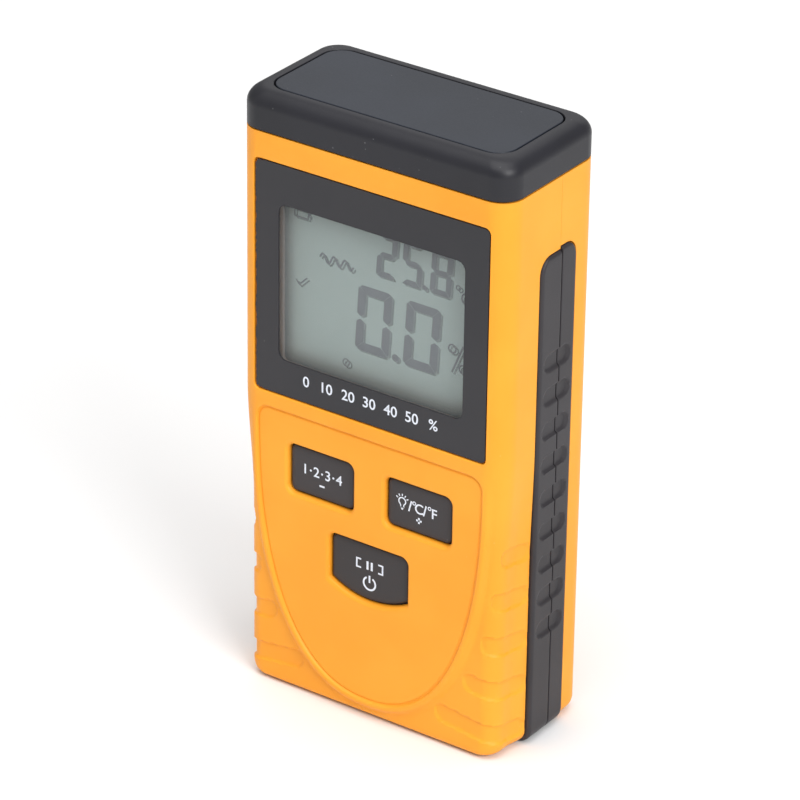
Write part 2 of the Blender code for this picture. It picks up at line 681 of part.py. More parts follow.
def sensor_cap():
    bottom = HOUSING_TOP + GAP / 2
    rings = [place(rounded_rectangle(WIDTH, DEPTH, CORNER_RADIUS), "Z", bottom)]
    for angle in (0, 18, 36, 54, 72, 90):
        inset = CAP_EDGE_RADIUS * (1 - math.cos(math.radians(angle)))
        z = LENGTH - CAP_EDGE_RADIUS * (1 - math.sin(math.radians(angle)))
        outline = rounded_rectangle(WIDTH - 2 * inset, DEPTH - 2 * inset, CORNER_RADIUS - inset * 0.5)
        rings.append(place(outline, "Z", z))
    cap = loft("sensor_cap", rings, "black_shell")
    lip_inset = WALL + GAP
    lip = prism(
        "cap_lip",
        rounded_rectangle(WIDTH - 2 * lip_inset, DEPTH - 2 * lip_inset, CORNER_RADIUS - lip_inset),
        "Z",
        HOUSING_TOP - CAP_LIP_LENGTH,
        HOUSING_TOP + WALL,
    )
    hollow_inset = lip_inset + CAP_LIP_WALL
    hollow = prism(
        "cap_hollow",
        rounded_rectangle(WIDTH - 2 * hollow_inset, DEPTH - 2 * hollow_inset, CORNER_RADIUS - lip_inset),
        "Z",
        HOUSING_TOP - CAP_LIP_LENGTH - PAST,
        ROOF_BOTTOM,
    )
    pocket = prism(
        "plate_pocket",
        plate_outline(GAP),
        "Z",
        PLATE_BOTTOM - GAP,
        LENGTH + PAST,
    )
    add(cap, lip)
    cut(cap, hollow, pocket)
    for side in (-1, 1):
        boss = prism(
            f"sensor_boss_{side}",
            circle(SENSOR_BOSS_RADIUS, 16),
            "Z",
            SENSOR_BOARD_BOTTOM + BOARD_THICKNESS + GAP,
            ROOF_BOTTOM + CAP_ROOF / 2,
            None,
            (side * SENSOR_SCREW_X, 0, 0),
        )
        pilot = prism(
            f"sensor_pilot_{side}",
            circle(BOARD_SCREW_RADIUS + GAP, 12),
            "Z",
            SENSOR_BOARD_BOTTOM,
            ROOF_BOTTOM + CAP_ROOF * 0.7,
            None,
            (side * SENSOR_SCREW_X, 0, 0),
        )
        add(cap, boss)
        cut(cap, pilot)


def plate_outline(grow=0.0):
    return rounded_rectangle(
        WIDTH - 2 * PLATE_RIM + 2 * grow, DEPTH - 2 * PLATE_RIM + 2 * grow, PLATE_RADIUS + grow, 6
    )


def screw(name, axis, seat, length, radius, head_radius, head_height, location):
    """Pan head with a cross recess. The plain shank runs from the seat against the axis direction."""
    shank = seat - length
    profile = [
        (shank, radius * 0.6),
        (shank + radius, radius),
        (seat, radius),
        (seat + STEP, head_radius),
        (seat + head_height * 0.6, head_radius),
        (seat + head_height, head_radius * 0.7),
    ]
    piece = turned(name, profile, axis, "steel", location, 16)
    arm, half = head_radius * 0.62, head_radius * 0.14
    cross = [(arm, half), (half, half), (half, arm), (-half, arm), (-half, half), (-arm, half)]
    cross += [(-u, -v) for u, v in cross]
    slot = prism(
        name + "_cross", cross, axis, seat + head_height * 0.4, seat + 2 * head_height, None, location
    )
    cut(piece, slot)
    return piece


def sensor_stack():
    prism("sensor_plate", plate_outline(), "Z", PLATE_BOTTOM, LENGTH, "black_shell")
    prism(
        "sensor_electrode",
        rounded_rectangle(ELECTRODE_WIDTH, ELECTRODE_DEPTH, ELECTRODE_RADIUS),
        "Z",
        ELECTRODE_BOTTOM,
        ELECTRODE_BOTTOM + ELECTRODE_THICKNESS,
        "copper",
    )
    board = prism(
        "sensor_board",
        rounded_rectangle(SENSOR_BOARD_WIDTH, SENSOR_BOARD_DEPTH, BOARD_CORNER),
        "Z",
        SENSOR_BOARD_BOTTOM,
        SENSOR_BOARD_BOTTOM + BOARD_THICKNESS,
        "board_green",
    )
    for side in (-1, 1):
        hole = prism(
            f"sensor_board_hole_{side}",
            circle(BOARD_SCREW_RADIUS + GAP, 12),
            "Z",
            SENSOR_BOARD_BOTTOM - PAST,
            SENSOR_BOARD_BOTTOM + BOARD_THICKNESS + PAST,
            None,
            (side * SENSOR_SCREW_X, 0, 0),
        )
        cut(board, hole)
        name = "sensor_screw_left" if side < 0 else "sensor_screw_right"
        length = BOARD_THICKNESS + 2 * GAP + SENSOR_SCREW_GRIP
        piece = screw(
            name, "Z", 0.0, length, BOARD_SCREW_RADIUS, BOARD_SCREW_HEAD, BOARD_SCREW_HEAD_HEIGHT, (0, 0, 0)
        )
        piece.rotation_euler = (math.pi, 0, 0)
        piece.location = (side * SENSOR_SCREW_X, 0, SENSOR_BOARD_BOTTOM - GAP)
        slot = bpy.data.objects[name + "_cross"]
        slot.rotation_euler = piece.rotation_euler
        slot.location = piece.location
    box(
        "sensor_shield",
        (-SHIELD_WIDTH / 2, -SHIELD_DEPTH / 2, SENSOR_BOARD_BOTTOM - GAP - SHIELD_HEIGHT),
        (SHIELD_WIDTH / 2, SHIELD_DEPTH / 2, SENSOR_BOARD_BOTTOM - GAP),
        "steel",
    )
    start = SENSOR_BOARD_BOTTOM - GAP
    board_end = BOARD_BACK + GAP
    route = [
        (SENSOR_LEAD_X, SENSOR_LEAD_Y, start),
        (SENSOR_LEAD_X, SENSOR_LEAD_Y, start - 3 * MM),
        (SENSOR_LEAD_X - 1 * MM, SENSOR_LEAD_Y + 0.5 * MM, (start + BOARD_TOP) / 2),
        (SENSOR_LEAD_X - 1 * MM, SENSOR_LEAD_Y - 1 * MM, BOARD_TOP - 1 * MM),
        (SENSOR_LEAD_X, 0, BOARD_TOP - 4 * MM),
        (SENSOR_LEAD_X, board_end, BOARD_TOP - 4.5 * MM),
    ]
    wire("sensor_lead", route, SENSOR_LEAD_RADIUS, "chip_black")


# ---------------------------------------------------------------- display


def panel_piece(name, width, height, radius, front, thickness, centre_z, finish_name):
    """Flat rounded piece that faces the front."""
    outline = rounded_rectangle(width, height, radius, 3)
    return prism(name, outline, "Y", front, front + thickness, finish_name, (0, 0, centre_z))


def display():
    overlay = panel_piece(
        "display_overlay",
        OVERLAY_WIDTH,
        OVERLAY_HEIGHT,
        OVERLAY_RADIUS,
        OVERLAY_FRONT,
        OVERLAY_THICKNESS,
        OVERLAY_CENTRE_Z,
        "overlay",
    )
    view = panel_piece(
        "overlay_view",
        WINDOW_WIDTH,
        WINDOW_HEIGHT,
        WINDOW_RADIUS,
        OVERLAY_FRONT - PAST,
        OVERLAY_THICKNESS + 2 * PAST,
        WINDOW_CENTRE_Z,
        None,
    )
    cut(overlay, view)
    panel_piece(
        "display_window",
        WINDOW_WIDTH + 2 * WINDOW_MARGIN,
        WINDOW_HEIGHT + 2 * WINDOW_MARGIN,
        WINDOW_RADIUS + WINDOW_MARGIN,
        WINDOW_FRONT,
        WINDOW_THICKNESS,
        WINDOW_CENTRE_Z,
        "clear",
    )
    glass_z = (GLASS_TOP + GLASS_BOTTOM) / 2
    short_z = glass_z + GLASS_LEDGE / 2
    short = GLASS_HEIGHT - GLASS_LEDGE
    panel_piece(
        "lcd_polarizer",
        GLASS_WIDTH - 2 * GLASS_CORNER,
        short - 2 * GLASS_CORNER,
        GLASS_CORNER,
        POLARIZER_FRONT,
        POLARIZER_THICKNESS,
        short_z,
        "lcd_grey",
    )
    layers = [
        ("lcd_front_glass", GLASS_HEIGHT, FRONT_GLASS_FRONT, GLASS_THICKNESS, glass_z),
        ("lcd_rear_glass", short, REAR_GLASS_FRONT, GLASS_THICKNESS, short_z),
        ("lcd_reflector", short, REFLECTOR_FRONT, REFLECTOR_THICKNESS, short_z),
    ]
    for name, height, front, thickness, z in layers:
        panel_piece(name, GLASS_WIDTH, height, GLASS_CORNER, front, thickness, z, "lcd_grey")
    guide_height = short - LED_HEIGHT - 2 * GAP
    panel_piece(
        "backlight_guide",
        GLASS_WIDTH,
        guide_height,
        GLASS_CORNER,
        GUIDE_FRONT,
        LIGHT_GUIDE_THICKNESS,
        GLASS_BOTTOM + GLASS_LEDGE + guide_height / 2,
        "white_plastic",
    )
    box(
        "backlight_led",
        (-LED_WIDTH / 2, GUIDE_FRONT, GLASS_TOP - LED_HEIGHT - GAP),
        (LED_WIDTH / 2, GUIDE_FRONT + LIGHT_GUIDE_THICKNESS, GLASS_TOP - GAP),
        "white_plastic",
    )
    box(
        "contact_strip",
        (-GLASS_WIDTH / 2 + CONTACT_INSET, REAR_GLASS_FRONT, GLASS_BOTTOM + GAP),
        (GLASS_WIDTH / 2 - CONTACT_INSET, HOLDER_BACK, GLASS_BOTTOM + GLASS_LEDGE - GAP),
        "black_rubber",
    )
    holder_front = POLARIZER_FRONT - GAP - HOLDER_LIP
    holder = panel_piece(
        "display_holder",
        GLASS_WIDTH + 2 * (GAP + HOLDER_WALL),
        GLASS_HEIGHT + 2 * (GAP + HOLDER_WALL),
        HOLDER_WALL,
        holder_front,
        HOLDER_BACK - holder_front,
        glass_z,
        "white_plastic",
    )
    bed = panel_piece(
        "holder_bed",
        GLASS_WIDTH + 2 * GAP,
        GLASS_HEIGHT + 2 * GAP,
        GLASS_CORNER,
        holder_front + HOLDER_LIP,
        HOLDER_BACK - holder_front,
        glass_z,
        None,
    )
    view = panel_piece(
        "holder_view",
        GLASS_WIDTH - 4 * GLASS_CORNER,
        short - 4 * GLASS_CORNER,
        HOLDER_WALL,
        holder_front - PAST,
        HOLDER_BACK - holder_front + 2 * PAST,
        short_z,
        None,
    )
    cut(holder, bed, view)


# ---------------------------------------------------------------- keys and switches


def key_places(grow=0.0):
    """(name, outline, x, z) of each key, the outline drawn out by a margin."""
    hold_z = HOLD_TOP - HOLD_SIDE / 2
    return [
        ("select_key", key_outline(grow), -KEY_X, KEY_Z),
        ("light_unit_key", key_outline(grow), KEY_X, KEY_Z),
        ("hold_key", hold_outline(grow), 0.0, hold_z),
    ]


def keys():
    shoulder = {name: outline for name, outline, _, _ in key_places(-KEY_EDGE)}
    flange = {name: outline for name, outline, _, _ in key_places(KEY_FLANGE)}
    for name, outline, x, z in key_places():
        rings = [
            place(shoulder[name], "Y", 0.0),
            place(outline, "Y", KEY_EDGE),
            place(outline, "Y", FLANGE_BACK - KEY_FRONT),
        ]
        key = loft(name, rings, "black_shell", (x, KEY_FRONT, z))
        rim = prism(
            name + "_rim",
            flange[name],
            "Y",
            FLANGE_FRONT - KEY_FRONT,
            FLANGE_BACK - KEY_FRONT,
            None,
            key.location,
        )
        stem = prism(
            name + "_stem",
            circle(KEY_STEM_RADIUS, 16),
            "Y",
            KEY_EDGE + GAP,
            PLUNGER_FRONT - GAP - KEY_FRONT,
            None,
            key.location,
        )
        add(key, rim, stem)
        short_name = name.removesuffix("_key")
        half = SWITCH_SIZE / 2
        switch = box(
            short_name + "_switch",
            (x - half, SWITCH_FRONT, z - half),
            (x + half, SWITCH_BACK, z + half),
            "chip_black",
        )
        seated = SWITCH_FRONT + KEY_TRAVEL + GAP
        turned(
            short_name + "_plunger",
            [(0.0, PLUNGER_RADIUS * 0.85), (GAP, PLUNGER_RADIUS), (seated - PLUNGER_FRONT, PLUNGER_RADIUS)],
            "Y",
            "white_plastic",
            (x, PLUNGER_FRONT, z),
            16,
        )
        bore = circle(PLUNGER_RADIUS + GAP, 16)
        deep = seated + KEY_TRAVEL + GAP
        cut(switch, across(short_name + "_switch_bore", bore, PLUNGER_FRONT, deep, x, z))


# ---------------------------------------------------------------- main board


def main_board():
    centre_z = (BOARD_TOP + BOARD_BOTTOM) / 2
    board = panel_piece(
        "main_board",
        BOARD_WIDTH,
        BOARD_TOP - BOARD_BOTTOM,
        BOARD_CORNER,
        BOARD_FRONT,
        BOARD_THICKNESS,
        centre_z,
        "board_green",
    )
    hole = circle(BOARD_SCREW_RADIUS + GAP, 12)
    for i, (x, z) in enumerate(POST_PLACES):
        cut(board, across(f"board_hole_{i}", hole, BOARD_FRONT - PAST, BOARD_BACK + PAST, x, z))
        screw(
            f"board_screw_{i + 1}",
            "Y",
            BOARD_BACK + GAP,
            BOARD_SCREW_LENGTH,
            BOARD_SCREW_RADIUS,
            BOARD_SCREW_HEAD,
            BOARD_SCREW_HEAD_HEIGHT,
            (x, 0, z),
        )


def board_parts():
    seat = BOARD_BACK + GAP
    for name, x, z, width, height, deep, finish_name in BLOCK_PARTS:
        outline = rounded_rectangle(width, height, PART_CORNER, 1)
        prism(name, outline, "Y", seat, seat + deep, finish_name, (x, 0, z))
    for name, x, z, radius, deep, finish_name in CAN_PARTS:
        rim = seat + deep - CAN_CHAMFER
        profile = [(seat, radius), (rim, radius), (seat + deep, radius - CAN_CHAMFER)]
        turned(name, profile, "Y", finish_name, (x, 0, z))


# ---------------------------------------------------------------- battery


def battery():
    prism(
        "battery",
        rounded_rectangle(BATTERY_WIDTH, BATTERY_DEPTH, BATTERY_RADIUS),
        "Z",
        BATTERY_BOTTOM,
        BATTERY_TOP,
        "battery_wrap",
        (0, BATTERY_Y, 0),
    )
    snap = prism(
        "battery_snap",
        rounded_rectangle(BATTERY_WIDTH - 2 * SNAP_MARGIN, 2 * (NEGATIVE_RADIUS + SNAP_RIM), SNAP_RADIUS),
        "Z",
        SNAP_BOTTOM,
        SNAP_TOP,
        "chip_black",
        (0, BATTERY_Y, 0),
    )
    terminals = (("battery_positive", -1, POSITIVE_RADIUS), ("battery_negative", 1, NEGATIVE_RADIUS))
    for name, side, radius in terminals:
        base = BATTERY_TOP + GAP
        top = base + TERMINAL_HEIGHT
        profile = [(base, radius * 0.9), ((base + top) / 2, radius * 0.9), (top, radius)]
        place_at = (side * TERMINAL_SPACING / 2, BATTERY_Y, 0)
        turned(name, profile, "Z", "steel", place_at, 20)
        socket = prism(
            name + "_socket",
            circle(radius + GAP, 20),
            "Z",
            SNAP_BOTTOM - PAST,
            SNAP_TOP - SNAP_CAP + GAP,
            None,
            place_at,
        )
        cut(snap, socket)
    leads = (("battery_lead_red", -1, "red_insulation"), ("battery_lead_black", 1, "chip_black"))
    for name, side, finish_name in leads:
        x = side * LEAD_X
        route = [
            (x, BATTERY_Y, SNAP_TOP + GAP),
            (x, BATTERY_Y, BAY_TOP + LEAD_RISE / 8),
            (x, BATTERY_Y, BAY_TOP + LEAD_RISE / 2),
            (x, BATTERY_Y - LEAD_RISE / 2, BAY_TOP + LEAD_RISE - LEAD_RADIUS),
            (x, BOARD_BACK + GAP + 2 * MM, BAY_TOP + LEAD_RISE),
            (x, BOARD_BACK + GAP, BAY_TOP + LEAD_RISE),
        ]
        wire(name, route, LEAD_RADIUS, finish_name)


def battery_door():
    """Door that turns about pins at its lower edge. Its origin is on the pivot."""
    half = DOOR_THICKNESS / 2
    high = DOOR_TOP - PIVOT_Z
    round_end = 0.99 * half
    corners = [(-half, -half, round_end), (half, -half, round_end), (half, high, 0), (-half, high, 0)]
    door = prism(
        "battery_door",
        round_corners(corners, 5),
        "X",
        -DOOR_HALF_WIDTH,
        DOOR_HALF_WIDTH,
        "orange_shell",
        (0, PIVOT_Y, PIVOT_Z),
    )
    reach = DOOR_HALF_WIDTH + PIVOT_LENGTH
    pins = prism("door_pins", circle(PIVOT_RADIUS, 12), "X", -reach, reach, None, door.location)
    latch = box(
        "door_latch",
        (-LATCH_WIDTH / 2, DOOR_INNER_Y - LATCH_REACH, BAY_TOP - GAP - LATCH_THICKNESS),
        (LATCH_WIDTH / 2, DOOR_INNER_Y + DOOR_THICKNESS / 2, BAY_TOP - GAP),
    )
    add(door, pins, latch)


def housing_screws():
    for i, (x, z) in enumerate(SCREW_PLACES):
        screw(
            f"housing_screw_{i + 1}",
            "Y",
            SCREW_SEAT_Y + GAP,
            SCREW_LENGTH,
            SCREW_RADIUS,
            SCREW_HEAD_RADIUS,
            SCREW_HEAD_HEIGHT,
            (x, 0, z),
        )


clear_scene()
meter = bpy.data.objects.new("moisture_meter", None)
bpy.context.scene.collection.objects.link(meter)
front_housing()
rear_housing()
grips()
sensor_cap()
sensor_stack()
display()
keys()
main_board()
board_parts()
battery()
battery_door()
housing_screws()
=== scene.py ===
import math
import random

import bmesh
import bpy
import numpy as np
from mathutils import Matrix, Vector


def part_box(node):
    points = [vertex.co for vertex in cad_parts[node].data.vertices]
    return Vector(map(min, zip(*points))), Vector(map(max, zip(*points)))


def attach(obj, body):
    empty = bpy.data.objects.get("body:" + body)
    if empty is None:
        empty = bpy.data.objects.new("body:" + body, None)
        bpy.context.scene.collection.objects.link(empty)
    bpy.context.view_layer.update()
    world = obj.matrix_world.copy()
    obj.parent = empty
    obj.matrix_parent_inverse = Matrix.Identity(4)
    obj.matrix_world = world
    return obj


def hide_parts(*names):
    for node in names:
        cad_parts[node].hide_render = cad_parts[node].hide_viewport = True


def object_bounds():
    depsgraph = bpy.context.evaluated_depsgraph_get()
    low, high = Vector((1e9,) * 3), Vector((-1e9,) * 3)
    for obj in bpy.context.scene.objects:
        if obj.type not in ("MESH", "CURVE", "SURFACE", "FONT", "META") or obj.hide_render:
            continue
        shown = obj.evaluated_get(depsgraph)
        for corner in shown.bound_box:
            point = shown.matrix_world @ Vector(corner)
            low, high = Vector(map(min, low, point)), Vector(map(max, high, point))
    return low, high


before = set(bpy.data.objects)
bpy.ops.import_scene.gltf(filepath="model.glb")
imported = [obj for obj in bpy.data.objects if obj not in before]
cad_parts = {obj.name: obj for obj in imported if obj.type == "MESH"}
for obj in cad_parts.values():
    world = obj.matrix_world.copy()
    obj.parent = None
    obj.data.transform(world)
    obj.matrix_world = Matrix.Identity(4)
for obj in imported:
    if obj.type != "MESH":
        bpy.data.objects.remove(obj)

mm = 0.001
cadLow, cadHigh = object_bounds()
frontLow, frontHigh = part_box("front_housing")
rearLow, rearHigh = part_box("rear_housing")
scene = bpy.context.scene
print("frame loaded:", len(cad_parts), "nodes")

# the sizes that the housings share
housing = {
    "cornerRadius": 5.2 * mm,
    "baseSideRadius": 3.0 * mm,
    "baseFrontRadius": 1.5 * mm,
    "wall": 2.2 * mm,
    "gap": 0.3 * mm,
    "past": 1.0 * mm,  # how far a cutter runs on
}
sideX = frontHigh.x
bottomZ = frontLow.z
topZ = frontHigh.z
gap = housing["gap"]
past = housing["past"]
partingY = frontHigh.y + gap / 2
seamRear = frontHigh.y + 0.06 * mm  # the rear skin all but meets the front one


# ---- shader wiring

class Wire:
    # a socket that can be added, subtracted and multiplied like a number
    def __init__(self, board, socket):
        self.board = board
        self.socket = socket

    def maths(self, operation, *values):
        return self.board.node("ShaderNodeMath", {"operation": operation}, dict(enumerate(values)))

    def __add__(self, other):
        return self.maths("ADD", self, other)

    def __sub__(self, other):
        return self.maths("SUBTRACT", self, other)

    def __rsub__(self, other):
        return self.maths("SUBTRACT", other, self)

    def __mul__(self, other):
        return self.maths("MULTIPLY", self, other)

    __radd__ = __add__
    __rmul__ = __mul__


class Finish:
    # one material with its Principled shader
    def __init__(self, name, fixed):
        self.material = bpy.data.materials.new(name)
        self.material.use_nodes = True
        self.tree = self.material.node_tree
        self.shader = self.tree.nodes["Principled BSDF"]
        for key, value in fixed.items():
            self.shader.inputs[key].default_value = value

    def node(self, kind, settings=None, values=None, output=0):
        made = self.tree.nodes.new(kind)
        for key, value in (settings or {}).items():
            setattr(made, key, value)
        for key, value in (values or {}).items():
            self.join(value, made.inputs[key])
        return Wire(self, made.outputs[output])

    def join(self, value, socket):
        if isinstance(value, Wire):
            self.tree.links.new(value.socket, socket)
        elif isinstance(value, tuple) and len(value) == 3 and socket.type == "RGBA":
            socket.default_value = (*value, 1.0)
        else:
            socket.default_value = value

    def feed(self, name, value):
        self.join(value, self.shader.inputs[name])

    def place(self):
        return self.node("ShaderNodeTexCoord", output="Object")

    def along(self, axis):
        return self.node("ShaderNodeSeparateXYZ", None, {0: self.place()}, "XYZ".index(axis))

    def noise(self, size, detail=2.0, roughness=0.5, stretch=(1, 1, 1)):
        spread = self.node("ShaderNodeMapping", None, {"Vector": self.place(), "Scale": stretch})
        values = {"Vector": spread, "Scale": 1 / size, "Detail": detail, "Roughness": roughness}
        return self.node("ShaderNodeTexNoise", None, values)

    def rise(self, value, low, high):
        # 0 below low, 1 above high, smooth between
        return self.node(
            "ShaderNodeMapRange", {"interpolation_type": "SMOOTHSTEP"}, {0: value, 1: low, 2: high}
        )

    def mix(self, amount, first, second):
        return self.node("ShaderNodeMix", {"data_type": "RGBA"}, {0: amount, 6: first, 7: second}, 2)

    def bump(self, height, depth):
        self.feed("Normal", self.node("ShaderNodeBump", None, {"Distance": depth, "Height": height}))


def mouldedPlastic(name, look):
    # fine eroded grain, slow colour drift and small bright specks of dust
    finish = Finish(name, {"Specular IOR Level": look["specular"], "IOR": 1.5})
    drift = finish.noise(28 * mm, 3.0)
    grain = finish.noise(look["grain"], 3.0, 0.6)
    colour = finish.mix(finish.rise(drift, 0.35, 0.65), look["dark"], look["light"])
    specks = finish.rise(finish.noise(0.9 * mm, 1.0), look["speckFrom"], look["speckFrom"] + 0.03)
    colour = finish.mix(specks * look["speckAmount"], colour, look["speck"])
    finish.feed("Base Color", colour)
    finish.feed("Roughness", look["roughness"] + (grain - 0.5) * look["roughSpread"])
    finish.bump(grain, look["bumpDepth"])
    return finish.material


# ---- materials

plasticLook = {
    "dark": (0.68, 0.68, 0.64),
    "light": (0.76, 0.76, 0.72),
    "speck": (0.4, 0.4, 0.38),
    "speckFrom": 0.80,
    "speckAmount": 0.4,
    "grain": 0.25 * mm,
    "roughness": 0.45,
    "roughSpread": 0.10,
    "bumpDepth": 0.004 * mm,
    "specular": 0.45,
}
orangeLook = dict(
    plasticLook,
    dark=(0.92, 0.350, 0.022),
    light=(0.94, 0.378, 0.028),
    speck=(0.98, 0.55, 0.20),
    speckAmount=0.25,
    grain=0.28 * mm,
    roughness=0.46,
    roughSpread=0.12,
    bumpDepth=0.006 * mm,
    specular=0.28,
)
capLook = dict(
    plasticLook,
    dark=(0.011, 0.011, 0.015),
    light=(0.014, 0.014, 0.019),
    speck=(0.16, 0.16, 0.17),
    speckFrom=0.775,
    speckAmount=0.55,
    grain=0.22 * mm,
    roughness=0.42,
    roughSpread=0.14,
    bumpDepth=0.008 * mm,
    specular=0.38,
)
plateLook = dict(
    capLook,
    dark=(0.013, 0.016, 0.024),
    light=(0.016, 0.020, 0.030),
    grain=0.35 * mm,
    roughness=0.40,
    specular=0.34,
    bumpDepth=0.004 * mm,
    speckFrom=0.80,
)
rubberLook = dict(
    plasticLook,
    dark=(0.022, 0.019, 0.022),
    light=(0.028, 0.025, 0.029),
    speck=(0.16, 0.15, 0.15),
    speckFrom=0.79,
    grain=0.18 * mm,
    roughness=0.50,
    roughSpread=0.16,
    bumpDepth=0.010 * mm,
    specular=0.42,
)
keyLook = dict(
    rubberLook,
    dark=(0.040, 0.036, 0.037),
    light=(0.047, 0.042, 0.044),
    grain=0.16 * mm,
    roughness=0.55,
    specular=0.30,
)
filmLook = dict(
    plasticLook,
    dark=(0.026, 0.026, 0.030),
    light=(0.031, 0.030, 0.034),
    speck=(0.5, 0.5, 0.5),
    speckFrom=0.81,
    speckAmount=0.5,
    grain=0.12 * mm,
    bumpDepth=0.003 * mm,
    specular=0.32,
)
chipLook = dict(
    rubberLook,
    dark=(0.014, 0.014, 0.016),
    light=(0.020, 0.020, 0.022),
    roughness=0.40,
    speckFrom=0.82,
)


def printInk(name, colour):
    # screen-printed ink, a little uneven in its cover
    finish = Finish(name, {"Specular IOR Level": 0.3})
    cover = finish.noise(0.25 * mm, 2.0)
    faded = tuple(0.86 * part for part in colour)
    finish.feed("Base Color", finish.mix(finish.rise(cover, 0.35, 0.6), faded, colour))
    finish.feed("Roughness", 0.5 + (cover - 0.5) * 0.2)
    finish.bump(cover, 0.003 * mm)
    return finish.material


def clearPane(name):
    # thin acrylic: nearly all of it lets light straight through
    finish = Finish(name, {"Specular IOR Level": 0.5, "IOR": 1.49})
    haze = finish.noise(6 * mm, 3.0)
    finish.feed("Base Color", finish.mix(haze, (0.42, 0.45, 0.45), (0.50, 0.53, 0.53)))
    finish.feed("Roughness", 0.10 + haze * 0.08)
    finish.feed("Alpha", 0.09 + (haze - 0.5) * 0.02)
    return finish.material


def liquidGlass(name):
    # reflective display: grey-green, with painted shade towards the left and lower edge, where the wall of
    # the window shades it
    finish = Finish(name, {"Specular IOR Level": 0.3})
    cloud = finish.noise(14 * mm, 2.0)
    fine = finish.noise(0.10 * mm, 1.0)
    colour = finish.mix(cloud, (0.270, 0.335, 0.320), (0.290, 0.355, 0.340))
    colour = finish.mix(finish.rise(fine, 0.55, 0.75) * 0.06, colour, (0.23, 0.28, 0.27))
    glassLow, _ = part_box("lcd_polarizer")
    # painted shade: dark bands along the left and lower edge stand in for the shadow of the window's wall
    shadeFromLeft = 1 - finish.rise(finish.along("X"), glassLow.x, glassLow.x + 3.4 * mm)
    shadeFromBelow = 1 - finish.rise(finish.along("Z"), glassLow.z, glassLow.z + 4.2 * mm)
    colour = finish.mix(shadeFromLeft * 0.75, colour, (0.10, 0.105, 0.11))
    colour = finish.mix(shadeFromBelow * 0.75, colour, (0.085, 0.085, 0.09))
    finish.feed("Base Color", colour)
    finish.feed("Roughness", 0.42 + (fine - 0.5) * 0.1)
    finish.bump(fine, 0.001 * mm)
    return finish.material


def segmentInk(name, colour, cover):
    # dark liquid-crystal segments, or the softer shadow that they throw on the layer behind
    finish = Finish(name, {"Specular IOR Level": 0.2})
    cloud = finish.noise(3 * mm, 2.0)
    lighter = tuple(1.08 * part for part in colour)
    finish.feed("Base Color", finish.mix(cloud, colour, lighter))
    finish.feed("Roughness", 0.5 + (cloud - 0.5) * 0.1)
    finish.feed("Alpha", cover + (cloud - 0.5) * 0.06)
    return finish.material


def boardGreen(name):
    # solder mask over copper tracks that run up and down, with pads
    finish = Finish(name, {"Specular IOR Level": 0.5})
    tracks = finish.node(
        "ShaderNodeTexBrick",
        {"offset": 0.37, "squash": 1.6},
        {"Vector": finish.place(), "Scale": 170.0, "Mortar Size": 0.012, "Mortar Smooth": 0.3},
        "Fac",
    )
    cloud = finish.noise(9 * mm, 3.0)
    green = finish.mix(cloud, (0.012, 0.125, 0.045), (0.018, 0.165, 0.060))
    finish.feed("Base Color", finish.mix(tracks * 0.7, green, (0.05, 0.28, 0.09)))
    finish.feed("Roughness", 0.32 + cloud * 0.14)
    finish.bump(tracks, 0.03 * mm)
    return finish.material


def turnedSteel(name, colour):
    # plated metal with fine brushing
    finish = Finish(name, {})
    brush = finish.noise(0.9 * mm, 4.0, 0.6, (1, 1, 8))
    finish.feed("Metallic", 0.94 + brush * 0.06)
    darker = tuple(0.72 * part for part in colour)
    finish.feed("Base Color", finish.mix(brush, darker, colour))
    finish.feed("Roughness", 0.22 + brush * 0.2)
    finish.bump(brush, 0.004 * mm)
    return finish.material


def batteryWrap(name):
    # printed can: a dark lower part and a copper-coloured band round the terminal end
    low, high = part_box("battery")
    finish = Finish(name, {"Specular IOR Level": 0.6})
    height = finish.along("Z")
    band = finish.rise(height, high.z - 13.5 * mm, high.z - 13.2 * mm)
    line = finish.rise(height, high.z - 15.4 * mm, high.z - 15.2 * mm) - finish.rise(
        height, high.z - 14.7 * mm, high.z - 14.5 * mm
    )
    scuff = finish.noise(2.2 * mm, 4.0, 0.65)
    colour = finish.mix(band, (0.018, 0.018, 0.021), (0.55, 0.24, 0.075))
    colour = finish.mix(line, colour, (0.62, 0.62, 0.60))
    colour = finish.mix(finish.rise(scuff, 0.62, 0.8) * 0.3, colour, (0.4, 0.4, 0.4))
    finish.feed("Base Color", colour)
    finish.feed("Metallic", band * 0.6)
    finish.feed("Roughness", 0.26 + scuff * 0.16)
    finish.bump(scuff, 0.01 * mm)
    return finish.material


def wireSleeve(name, colour):
    finish = Finish(name, {"Specular IOR Level": 0.5})
    ripple = finish.noise(0.8 * mm, 2.0)
    darker = tuple(0.8 * part for part in colour)
    finish.feed("Base Color", finish.mix(ripple, darker, colour))
    finish.feed("Roughness", 0.38 + ripple * 0.14)
    finish.bump(ripple, 0.01 * mm)
    return finish.material


orangeShell = mouldedPlastic("orangeShell", orangeLook)
blackCap = mouldedPlastic("blackCap", capLook)
blackPlate = mouldedPlastic("blackPlate", plateLook)
gripRubber = mouldedPlastic("gripRubber", rubberLook)
keyRubber = mouldedPlastic("keyRubber", keyLook)
blackFilm = mouldedPlastic("blackFilm", filmLook)
whitePlastic = mouldedPlastic("whitePlastic", plasticLook)
chipBlack = mouldedPlastic("chipBlack", chipLook)
holderGrey = mouldedPlastic(
    "holderGrey", dict(plasticLook, dark=(0.15, 0.13, 0.12), light=(0.19, 0.17, 0.16))
)
whiteInk = printInk("whiteInk", (0.78, 0.82, 0.90))
paneClear = clearPane("paneClear")
lcdGrey = liquidGlass("lcdGrey")
segmentDark = segmentInk("segmentDark", (0.135, 0.148, 0.165), 0.88)
segmentShade = segmentInk("segmentShade", (0.150, 0.175, 0.185), 0.5)
maskGreen = boardGreen("maskGreen")
steel = turnedSteel("steel", (0.62, 0.61, 0.59))
copper = turnedSteel("copper", (0.80, 0.42, 0.22))
